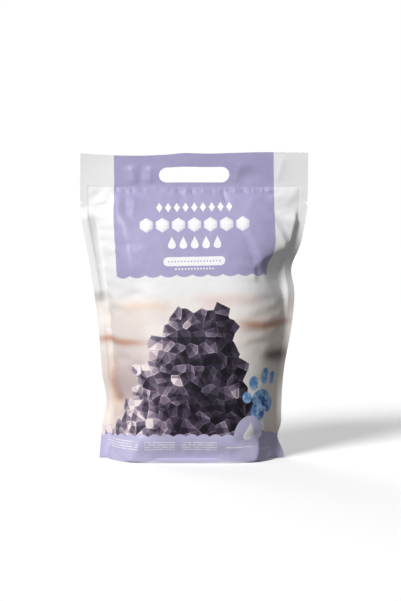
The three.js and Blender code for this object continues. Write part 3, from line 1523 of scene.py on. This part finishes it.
@dataclass(frozen=True)
class Inks:
    """The colours of the film and of the inks on it."""

    film: Ink = Ink(paint(241, 241, 243))
    panel: Ink = Ink(paint(171, 165, 203), 60.0, Fade(0.3, 0.7, 0.0, 0.05))
    band: Ink = Ink(paint(199, 194, 228))
    white: Colour = paint(249, 249, 251)


@dataclass(frozen=True)
class Press:
    """What a web is printed with: the sheet that its nodes are written on, the stencils and the inks."""

    sheet: Sheet
    stencils: Stencils
    inks: Inks


class BlurredBar(NamedTuple):
    """A blurred bar in the background of the picture: its middle, its half size and its colour."""

    at: Place
    size: HalfSize
    tint: Colour


@dataclass(frozen=True)
class WarmRoom:
    """The background of the picture: a cream room out of focus, with a few warm blurred bars."""

    cream: Colour = paint(246, 240, 234)
    dusk: Colour = paint(236, 226, 220)
    white: Colour = paint(243, 243, 244)
    bars: tuple[BlurredBar, ...] = (
        BlurredBar((-104 * MM, 150 * MM), (46 * MM, 5 * MM), paint(196, 140, 104)),
        BlurredBar((-118 * MM, 92 * MM), (16 * MM, 34 * MM), paint(214, 170, 142)),
        BlurredBar((96 * MM, 172 * MM), (44 * MM, 6 * MM), paint(186, 138, 108)),
        BlurredBar((44 * MM, 205 * MM), (40 * MM, 8 * MM), paint(226, 178, 164)),
        BlurredBar((118 * MM, 132 * MM), (26 * MM, 9 * MM), paint(84, 62, 58)),
        BlurredBar((-60 * MM, 196 * MM), (34 * MM, 6 * MM), paint(236, 206, 182)),
        BlurredBar((-84 * MM, 96 * MM), (32 * MM, 48 * MM), paint(190, 168, 170)),
    )
    bar_strength: float = 0.85
    drift_scale: float = 14.0
    dimming: Fade = Fade(0.35, 0.65)
    sway: float = 14 * MM
    top: Fade = Fade(180 * MM, 226 * MM)

    def lay(self, press: Press, place: FilmPlace) -> Value:
        """The room's colour.

        Args:
            press: what the web is printed with.
            place: the place on the film.

        Returns:
            The colour.
        """
        sheet = press.sheet
        drift = sheet.noise(sheet.spot(*place), self.drift_scale, detail=1.0)
        sway = (drift - 0.5) * self.sway
        colour = sheet.mix(sheet.ramp(drift, self.dimming), self.cream, self.dusk)
        for at, size, tint in self.bars:
            across, up = place.seen_from(at)
            mask, = sheet.use(press.stencils.haze, across, up + sway, *size)
            colour = sheet.mix(mask * self.bar_strength, colour, tint)
        return sheet.mix(sheet.ramp(place.up, self.top), colour, self.white)


@dataclass(frozen=True)
class CrystalLight:
    """How light a crystal is: its own tone, its facets, and the light from the left and from above."""

    own: float = 0.36
    spread: float = 0.42
    facets: tuple[float, ...] = (0.2, -0.16, 0.08)
    facet_from: float = 0.06
    from_left: Fade = Fade(-100 * MM, 40 * MM, 0.3, -0.14)
    from_above: Fade = Fade(0.0, 26 * MM, 0.16, 0.0)
    flash: Fade = Fade(0.8, 0.98, 0.0, 0.2)
    bevel: Fade = Fade(0.03, 0.09, 0.22, 0.0)
    gap: Fade = Fade(0.0, 0.035, -0.5, 0.0)
    tones: tuple[tuple[float, Colour], ...] = (
        (0.0, paint(20, 17, 25)),
        (0.3, paint(45, 38, 52)),
        (0.55, paint(84, 74, 92)),
        (0.78, paint(140, 126, 146)),
        (0.93, paint(206, 186, 196)),
        (1.0, paint(244, 232, 232)),
    )

    def colour(self, sheet: Sheet, tone: Value) -> Value:
        """The colour of a tone.

        Args:
            sheet: where the nodes are written.
            tone: the tone, from 0 to 1.

        Returns:
            The colour.
        """
        ramp = sheet.node("ShaderNodeValToRGB")
        bands = ramp.color_ramp.elements
        bands[0].position, bands[0].color = self.tones[0]
        bands[1].position, bands[1].color = self.tones[-1]
        for position, colour in self.tones[1:-1]:
            bands.new(position).color = colour
        return sheet.output(ramp, 0, (0, tone))

    def tone(self, across: Value, local: FilmPlace, chances: tuple[Value, ...], edge: Value,
             below: Value) -> Value:
        """Work out a crystal's tone at a place.

        Args:
            across: the place across the film.
            local: the same place seen from the crystal's centre, in cells.
            chances: the crystal's own three odds, for its tone, its turn and its flash.
            edge: how far the place is from the crystal's edge, in cells.
            below: how far the crystal lies below the crest of the heap.

        Returns:
            The tone, from dark to bright.
        """
        sheet = across.sheet
        chance, turn, gleam = chances
        tone = (chance - 0.5) * self.spread + self.own
        for number, strength in enumerate(self.facets):
            angle = turn * math.tau + number * math.tau / len(self.facets)
            slope = local.across * sheet.math("COSINE", angle) + local.up * sheet.math("SINE", angle)
            tone = tone + (slope > self.facet_from) * strength
        for value, fade in (
            (below, self.from_above), (gleam, self.flash), (edge, self.bevel), (edge, self.gap),
            (across, self.from_left),
        ):
            tone = tone + sheet.ramp(value, fade)
        return tone


@dataclass(frozen=True)
class CrystalHeap:
    """The main motif: a heap of dark plum crystals, lit from the left."""

    foot: float = 20 * MM
    top: float = 178 * MM
    middle: float = 22 * MM
    left_reach: float = 108 * MM
    right_reach: float = 56 * MM
    right_end: float = 88 * MM
    steepness: float = 2.6
    unevenness: float = 16 * MM
    cells_per_metre: float = 72.0
    light: CrystalLight = CrystalLight()

    def build(self) -> bpy.types.NodeTree:
        """Build the heap as a node group.

        Returns:
            The node group, which gives a colour and a mask.
        """
        sheet, (across, up) = Sheet.group("crystal_heap", Across=0.0, Up=0.0)
        place = sheet.spot(across, up)
        position, odds = sheet.cells(place, self.cells_per_metre, "F1", "Position", "Color")
        edge, = sheet.cells(place, self.cells_per_metre, "DISTANCE_TO_EDGE", "Distance")
        cell_across, cell_up, _ = sheet.parts(position)
        chances = sheet.parts(odds)
        from_middle = cell_across - self.middle
        width = (from_middle > 0.0) * (self.right_reach - self.left_reach) + self.left_reach
        fall = (abs(from_middle) / width) ** self.steepness
        crest = sheet.math("EXPONENT", fall * -1.0) * self.top + self.foot
        below = crest + (chances[0] - 0.5) * self.unevenness - cell_up
        scale = self.cells_per_metre
        local = FilmPlace((across - cell_across) * scale, (up - cell_up) * scale)
        tone = self.light.tone(across, local, chances, edge, below)
        mask = (below > 0.0) * (cell_across < self.right_end)
        return sheet.give(Colour=self.light.colour(sheet, tone), Mask=mask)


class Pad(NamedTuple):
    """A pad of a paw print, or a lobe of its largest: its middle, its half size and its turn."""

    at: Place
    size: HalfSize
    turn: float


@dataclass(frozen=True)
class PawPrint:
    """A paw print in blue watercolour."""

    at: Place = (93 * MM, 73 * MM)
    pads: tuple[Pad, ...] = (
        Pad((-23 * MM, 9 * MM), (6.6 * MM, 7.2 * MM), 0.5),
        Pad((-13 * MM, 26 * MM), (7.0 * MM, 9.2 * MM), 0.2),
        Pad((7 * MM, 34 * MM), (8.0 * MM, 10.2 * MM), -0.1),
        Pad((27 * MM, 30 * MM), (8.6 * MM, 8.8 * MM), -0.3),
        Pad((4 * MM, 4 * MM), (19 * MM, 13.5 * MM), -0.2),
        Pad((-5 * MM, -9 * MM), (12.5 * MM, 12 * MM), -0.5),
        Pad((16 * MM, -2 * MM), (13 * MM, 9.5 * MM), 0.2),
    )
    blur: float = 0.5 * MM
    raggedness: float = 2.2 * MM
    ragged_scale: float = 420.0
    wash_scale: float = 95.0
    wash_roughness: float = 0.62
    wash: Fade = Fade(0.43, 0.57)
    pool: tuple[Place, HalfSize] = ((3 * MM, -4 * MM), (14 * MM, 13 * MM))
    pooling: Fade = Fade(0.46, 0.54)
    grain_scale: float = 900.0
    grain: Fade = Fade(0.55, 0.75, 0.0, 0.4)
    pale: Colour = paint(166, 204, 243)
    middle: Colour = paint(100, 154, 217)
    deep: Colour = paint(32, 62, 152)
    paper: Colour = paint(200, 220, 244)

    def build(self, stencils: Stencils) -> bpy.types.NodeTree:
        """Build the paw print as a node group.

        Args:
            stencils: the stencils of the print.

        Returns:
            The node group, which gives a colour and a mask.
        """
        sheet, place = Sheet.group("paw_print", Across=0.0, Up=0.0)
        vector = sheet.spot(*place)
        place = FilmPlace(*place).seen_from(self.at)
        ragged = (sheet.noise(vector, self.ragged_scale, detail=3.0) - 0.5) * self.raggedness
        mask = 0.0
        for at, size, turn in self.pads:
            across, up = place.seen_from(at)
            oval, = sheet.use(stencils.oval, across + ragged, up + ragged, *size, turn, self.blur)
            mask = sheet.math("MAXIMUM", mask, oval)
        wash = sheet.noise(vector, self.wash_scale, detail=4.0, roughness=self.wash_roughness)
        grain = sheet.noise(vector, self.grain_scale)
        at, size = self.pool
        pool, = sheet.use(stencils.haze, *place.seen_from(at), *size)
        colour = sheet.mix(sheet.ramp(wash, self.wash), self.pale, self.middle)
        colour = sheet.mix(sheet.ramp(wash, self.pooling) * pool, colour, self.deep)
        colour = sheet.mix(sheet.ramp(grain, self.grain), colour, self.paper)
        return sheet.give(Colour=colour, Mask=mask)


@dataclass(frozen=True)
class MotifRow:
    """A row of one motif: how many, their pitch, their height above the panel's foot and their half size."""

    motif: Motif
    count: float
    pitch: float
    height: float
    size: HalfSize
    facet_shade: float = 0.45

    def lay(self, press: Press, place: FilmPlace) -> Value:
        """How far the row's motifs cover a place on the panel.

        Args:
            press: what the web is printed with.
            place: the place, seen from the panel's foot.

        Returns:
            The cover, from 0 to 1.
        """
        across, inside = press.sheet.use(press.stencils.row, place.across, self.pitch, self.count)
        tree = press.stencils.motifs[self.motif]
        mask, *facet = press.sheet.use(tree, across, place.up - self.height, *self.size)
        mark = mask * inside
        return mark * (1.0 - facet[0] * self.facet_shade) if facet else mark


@dataclass(frozen=True)
class Panel:
    """The lilac panel of the header, a little crooked, with a scalloped lower edge and rows of ornaments."""

    foot: Place = (2.4 * MM, 230.9 * MM)
    turn: float = math.radians(1.15)
    half_width: float = 99.8 * MM
    scallop_pitch: float = 19.4 * MM
    scallop_depth: float = 2.8 * MM
    scallop_shift: float = 6.6 * MM
    rows: tuple[MotifRow, ...] = (
        MotifRow(Motif.DIAMOND, 9, 10.8 * MM, 90.0 * MM, (3.9 * MM, 6.6 * MM)),
        MotifRow(Motif.CRYSTAL, 7, 19.8 * MM, 66.3 * MM, (7.9 * MM, 9.8 * MM)),
        MotifRow(Motif.DROP, 5, 14.0 * MM, 43.6 * MM, (4.7 * MM, 8.2 * MM)),
        MotifRow(Motif.DOT, 13, 3.9 * MM, 10.0 * MM, (1.1 * MM, 1.1 * MM)),
    )
    pill: tuple[float, HalfSize] = (19.4 * MM, (38.7 * MM, 5.6 * MM))
    pill_dots: MotifRow = MotifRow(Motif.DOT, 17, 4.0 * MM, 19.4 * MM, (0.95 * MM, 0.95 * MM))

    def lay(self, press: Press, place: FilmPlace, under: Tint) -> Value:
        """Print the panel over what lies under it.

        Args:
            press: what the web is printed with.
            place: the place on the film.
            under: the colour that lies under it.

        Returns:
            The colour.
        """
        sheet, inks = press.sheet, press.inks
        local = place.seen_from(self.foot, self.turn)
        reach, = sheet.use(
            press.stencils.wave, local.across - self.scallop_shift, self.scallop_pitch, self.scallop_depth,
        )
        below = self.scallop_depth - reach - local.up
        outside = sheet.math("MAXIMUM", below, abs(local.across) - self.half_width)
        height, size = self.pill
        white, = sheet.use(press.stencils.bar, local.across, local.up - height, *size, size[1])
        for row in self.rows:
            white = sheet.math("MAXIMUM", white, row.lay(press, local))
        colour = sheet.mix(sheet.cover(outside), under, inks.panel.lay(press, local))
        colour = sheet.mix(white, colour, inks.white)
        return sheet.mix(self.pill_dots.lay(press, local), colour, inks.panel.colour)


class LineColumn(NamedTuple):
    """A column of broken lines: its middle, half its length and how many lines it has."""

    at: Place
    half_length: float
    lines: int


@dataclass(frozen=True)
class FootBand:
    """The lilac band round the foot, with a wavy upper edge, a round tab and columns of broken lines."""

    crest: float = 38 * MM
    sag: float = 5.5 * MM
    reach: float = 140 * MM
    tilt: float = 0.005
    wave_pitch: float = 15.1 * MM
    wave_depth: float = 3.0 * MM
    widening: float = 0.08
    tab: Place = (74 * MM, 39 * MM)
    tab_radius: float = 20.5 * MM
    tab_flare: float = 5 * MM
    tab_drop: tuple[Place, HalfSize] = ((74 * MM, 41 * MM), (7.2 * MM, 11.5 * MM))
    columns: tuple[LineColumn, ...] = (
        LineColumn((-98.5 * MM, 22.2 * MM), 32.5 * MM, 4),
        LineColumn((-39.5 * MM, 22.2 * MM), 18.5 * MM, 4),
        LineColumn((10 * MM, 22.2 * MM), 23 * MM, 4),
        LineColumn((63.2 * MM, 20.4 * MM), 18.7 * MM, 1),
        LineColumn((110.9 * MM, 16 * MM), 14.1 * MM, 1),
    )
    line_pitch: float = 3.2 * MM
    line_strength: float = 0.8

    def above_edge(self, press: Press, place: FilmPlace) -> Value:
        """How far a place lies above the band's wavy edge, which sags and tilts as the film does.

        Args:
            press: what the web is printed with.
            place: the place on the film.

        Returns:
            The distance, which is negative on the band.
        """
        far = place.across / self.reach
        along = place.across * (1.0 - far * far * self.widening)
        wave, = press.sheet.use(press.stencils.wave, along, self.wave_pitch, self.wave_depth)
        edge = self.crest - self.wave_depth - far * far * self.sag + wave + place.across * self.tilt
        return place.up - edge

    def lay(self, press: Press, place: FilmPlace, under: Tint) -> Value:
        """Print the band over what lies under it, without its tab."""
        cover = press.sheet.cover(self.above_edge(press, place))
        return press.sheet.mix(cover, under, press.inks.band.lay(press, place))

    def lay_with_tab(self, press: Press, place: FilmPlace, under: Tint) -> Value:
        """Print the band with its tab, the drop on the tab and the lines, over what lies under it.

        Args:
            press: what the web is printed with.
            place: the place on the film.
            under: the colour that lies under it.

        Returns:
            The colour.
        """
        sheet = press.sheet
        across, up = place.seen_from(self.tab)
        from_tab = sheet.math("SQRT", across * across + up * up) - self.tab_radius
        outside = sheet.math("SMOOTH_MIN", self.above_edge(press, place), from_tab, self.tab_flare)
        at, size = self.tab_drop
        white, = sheet.use(press.stencils.drop, *place.seen_from(at), *size)
        for at, half_length, lines in self.columns:
            half_height = lines * self.line_pitch / 2
            column, = sheet.use(
                press.stencils.lines, *place.seen_from(at), half_length, half_height, self.line_pitch,
            )
            white = sheet.math("MAXIMUM", white, column * self.line_strength)
        colour = sheet.mix(sheet.cover(outside), under, press.inks.band.lay(press, place))
        return sheet.mix(white, colour, press.inks.white)


@dataclass(frozen=True)
class PouchPrint:
    """The print of the webs, each a shader node group that gives the film's colour at a place on it."""

    inks: Inks = Inks()
    panel: Panel = Panel()
    band: FootBand = FootBand()
    room: WarmRoom = WarmRoom()
    heap: CrystalHeap = CrystalHeap()
    paw: PawPrint = PawPrint()

    def start(self, name: str, stencils: Stencils) -> tuple[Press, FilmPlace]:
        """Start the print of a web, and give back its press and the place that it reads."""
        sheet, place = Sheet.group(name, Across=0.0, Up=0.0)
        return Press(sheet, stencils, self.inks), FilmPlace(*place)

    def front(self, stencils: Stencils) -> bpy.types.NodeTree:
        """The front: the picture with its paw print, then the panel and the band over it.

        Args:
            stencils: the stencils of the print.

        Returns:
            The node group.
        """
        press, place = self.start("front_print", stencils)
        sheet = press.sheet
        colour = self.room.lay(press, place)
        for tree in (self.heap.build(), self.paw.build(stencils)):
            tint, mask = sheet.use(tree, *place)
            colour = sheet.mix(mask, colour, tint)
        colour = self.panel.lay(press, place, colour)
        return sheet.give(Colour=self.band.lay_with_tab(press, place, colour))

    def back(self, stencils: Stencils) -> bpy.types.NodeTree:
        """The back, which has the same panel and band on bare film.

        Args:
            stencils: the stencils of the print.

        Returns:
            The node group.
        """
        press, place = self.start("back_print", stencils)
        colour = self.panel.lay(press, place, self.inks.film.colour)
        return press.sheet.give(Colour=self.band.lay(press, place, colour))

    def plain(self, name: str, stencils: Stencils, ink: Ink) -> bpy.types.NodeTree:
        """Film of one ink."""
        press, place = self.start(name, stencils)
        return press.sheet.give(Colour=ink.lay(press, place))


@dataclass(frozen=True)
class FilmFinish:
    """The satin finish of the laminated film: soft crinkles, the grain of the fill, and its welds."""

    form: FilledForm
    rub_scale: float = 70.0
    rub_roughness: float = 0.65
    rub: Fade = Fade(0.3, 0.7, 0.37, 0.47)
    gloss: float = 0.3
    crinkle: float = 0.64 * MM
    crinkle_scale: float = 42.0
    crease: float = 0.8 * MM
    crease_scale: float = 26.0
    crease_roughness: float = 0.6
    granule: float = 0.12 * MM
    granule_scale: float = 230.0
    pucker: float = 1.52 * MM
    pucker_scale: float = 190.0
    pucker_stretch: float = 0.12
    pucker_top: Fade = Fade(0.0, 2 * MM)
    pucker_foot: Fade = Fade(5.2 * MM, 13 * MM, 1.0, 0.0)
    pucker_side: Fade = Fade(92 * MM, 110 * MM, 1.0, 0.3)
    weld_relief: Fade = Fade(-6 * MM, 0.0, 1.0, 0.25)
    weld_step: Fade = Fade(-0.5 * MM, 0.5 * MM, 0.0, 0.3 * MM)

    def place_group(self) -> bpy.types.NodeTree:
        """The place on the flat film, read from the film's own map."""
        sheet, _ = Sheet.group("film_place")
        across, up, _ = sheet.parts(sheet.output(sheet.node("ShaderNodeUVMap", uv_map="film"), 0))
        return sheet.give(Across=(across - 0.5) * self.form.width, Up=up * self.form.film_height)

    def relief_group(self) -> bpy.types.NodeTree:
        """The fine relief of the film, in metres, and how rough it is.

        Returns:
            The node group, which gives a height and a roughness.
        """
        sheet, (across, up, third) = Sheet.group("film_relief", Across=0.0, Up=0.0, Third=0.0)
        place = sheet.spot(across, up, third)
        below = self.form.seal_up - up
        in_weld = sheet.math("MAXIMUM", abs(across) - self.form.body_film, up - self.form.seal_up)
        crease = abs(sheet.noise(place, self.crease_scale, roughness=self.crease_roughness) - 0.5)
        relief = (
            sheet.noise(place, self.crinkle_scale) * self.crinkle - crease * self.crease
            + sheet.noise(place, self.granule_scale, detail=1.0) * self.granule
        )
        gathered = (
            sheet.ramp(below, self.pucker_top) * sheet.ramp(below, self.pucker_foot)
            * sheet.ramp(abs(across), self.pucker_side)
        )
        gathers = sheet.noise(sheet.spot(across, up * self.pucker_stretch, third), self.pucker_scale)
        relief = relief + gathers * gathered * self.pucker
        height = relief * sheet.ramp(in_weld, self.weld_relief) + sheet.ramp(in_weld, self.weld_step)
        rub = sheet.noise(place, self.rub_scale, detail=4.0, roughness=self.rub_roughness)
        return sheet.give(Height=height, Roughness=sheet.ramp(rub, self.rub))

    def materials(self, art: PouchPrint) -> list[bpy.types.Material]:
        """Make the material of every web, in the webs' order.

        Args:
            art: the print.

        Returns:
            The materials.
        """
        stencils = Stencils()
        inks = {
            Web.FRONT: art.front(stencils),
            Web.BACK: art.back(stencils),
            Web.GUSSET: art.plain("gusset_print", stencils, art.inks.band),
            Web.CUT_EDGE: art.plain("bare_film", stencils, art.inks.film),
        }
        place, relief = self.place_group(), self.relief_group()
        return [self.dress(web, inks[web], place, relief) for web in Web]

    def dress(self, web: Web, ink: bpy.types.NodeTree, place: bpy.types.NodeTree,
              relief: bpy.types.NodeTree) -> bpy.types.Material:
        """Make the material of one web.

        Args:
            web: the web, whose number also keeps its crinkles apart from the others'.
            ink: the group that gives the web's colour.
            place: the group that gives the place on the film.
            relief: the group that gives the fine relief.

        Returns:
            The material.
        """
        material = bpy.data.materials.new(f"film_{web.name.lower()}")
        material.use_nodes = True
        sheet = Sheet(material.node_tree)
        shader = material.node_tree.nodes["Principled BSDF"]
        spot = sheet.use(place)
        height, roughness = sheet.use(relief, *spot, float(web))
        normal = sheet.output(sheet.node("ShaderNodeBump"), 0, ("Distance", 1.0), ("Height", height))
        sheet.feed(shader.inputs["Base Color"], *sheet.use(ink, *spot))
        sheet.feed(shader.inputs["Roughness"], roughness)
        sheet.feed(shader.inputs["Normal"], normal)
        sheet.feed(shader.inputs["Specular IOR Level"], self.gloss)
        return material


@dataclass(frozen=True)
class SoftLight:
    """A wide, far lamp: its strength, where it stands round the pouch and above it, and how wide it looks."""

    name: str
    strength: float
    azimuth: float
    elevation: float
    softness: float

    def hang(self) -> None:
        """Hang the lamp."""
        lamp = bpy.data.lights.new(self.name, "SUN")
        lamp.energy = self.strength
        lamp.angle = self.softness
        light = bpy.data.objects.new(self.name, lamp)
        light.rotation_euler = (math.pi / 2 - self.elevation, 0.0, self.azimuth)
        bpy.context.scene.collection.objects.link(light)


@dataclass(frozen=True)
class Studio:
    """A white floor, a key light from the upper left, a weak one from behind, and a camera a little above."""

    distance: float = 3.0
    elevation: float = math.radians(3.9)
    frame_height: float = 754 * MM
    sensor: float = 36.0
    aim_across: float = 9.4 * MM
    aim_height: float = 198.6 * MM
    lights: tuple[SoftLight, ...] = (
        SoftLight("key_light", 2.98, math.radians(-35), math.radians(32), math.radians(20)),
        SoftLight("rear_light", 1.4, math.radians(-150), math.radians(14), math.radians(40)),
    )
    room_light: float = 0.22
    floor_size: float = 12.0
    floor_bounce: float = 0.23
    floor_seen: float = 0.97
    floor_lift: float = 0.22
    floor_roughness: float = 0.9

    def place_camera(self) -> None:
        """Set the camera where the photograph was taken from."""
        data = bpy.data.cameras.new("camera")
        data.sensor_width = self.sensor
        data.lens = self.sensor * self.distance / self.frame_height
        camera = bpy.data.objects.new("camera", data)
        back = Vector((0.0, -math.cos(self.elevation), math.sin(self.elevation)))
        camera.location = Vector((self.aim_across, 0.0, self.aim_height)) + back * self.distance
        camera.rotation_euler = (math.pi / 2 - self.elevation, 0.0, 0.0)
        bpy.context.scene.collection.objects.link(camera)
        bpy.context.scene.camera = camera

    def light_room(self) -> None:
        """Fill the room with plain light, and show white behind everything."""
        world = bpy.data.worlds.new("room")
        bpy.context.scene.world = world
        world.use_nodes = True
        world.node_tree.nodes.clear()
        sheet = Sheet(world.node_tree)
        seen = sheet.output(sheet.node("ShaderNodeLightPath"), "Is Camera Ray")
        fill = (self.room_light, self.room_light, self.room_light, 1.0)
        fill, white = (
            sheet.output(sheet.node("ShaderNodeBackground"), 0, ("Color", colour))
            for colour in (fill, (1.0, 1.0, 1.0, 1.0))
        )
        surface = sheet.output(sheet.node("ShaderNodeMixShader"), 0, (0, seen), (1, fill), (2, white))
        sheet.feed(sheet.node("ShaderNodeOutputWorld").inputs["Surface"], surface)

    def lay_floor(self) -> None:
        """Lay the white floor, which keeps the pouch's shadow."""
        bm = bmesh.new()
        bmesh.ops.create_grid(bm, x_segments=1, y_segments=1, size=self.floor_size / 2)
        mesh = bpy.data.meshes.new("floor")
        bm.to_mesh(mesh)
        bm.free()
        floor = bpy.data.objects.new("floor", mesh)
        bpy.context.scene.collection.objects.link(floor)
        paper = bpy.data.materials.new("white_floor")
        paper.use_nodes = True
        sheet = Sheet(paper.node_tree)
        shader = paper.node_tree.nodes["Principled BSDF"]
        seen = sheet.output(sheet.node("ShaderNodeLightPath"), "Is Camera Ray")
        bounce, plain = ((grey, grey, grey, 1.0) for grey in (self.floor_bounce, self.floor_seen))
        sheet.feed(shader.inputs["Base Color"], sheet.mix(seen, bounce, plain))
        sheet.feed(shader.inputs["Emission Strength"], seen * self.floor_lift)
        sheet.feed(shader.inputs["Emission Color"], (1.0, 1.0, 1.0, 1.0))
        sheet.feed(shader.inputs["Roughness"], self.floor_roughness)
        sheet.feed(shader.inputs["Specular IOR Level"], 0.0)
        mesh.materials.append(paper)

    def build(self) -> None:
        """Set up the whole studio."""
        self.place_camera()
        for light in self.lights:
            light.hang()
        self.light_room()
        self.lay_floor()
        bpy.context.scene.view_settings.view_transform = "Standard"


def main() -> None:
    """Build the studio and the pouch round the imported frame."""
    logging.basicConfig(level=logging.INFO, format="%(name)s: %(message)s")
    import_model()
    Studio().build()
    low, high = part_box("litter_bag")
    form = FilledForm(width=high.x - low.x, height=high.z - low.z, belly_half_depth=(high.y - low.y) / 2)
    piece = Pouch(form).build()
    for material in FilmFinish(form).materials(PouchPrint()):
        piece.data.materials.append(material)
    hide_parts("litter_bag")
    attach(piece, "root")
    LOG.info("built %s", piece.name)


if __name__ == "__main__":
    main()
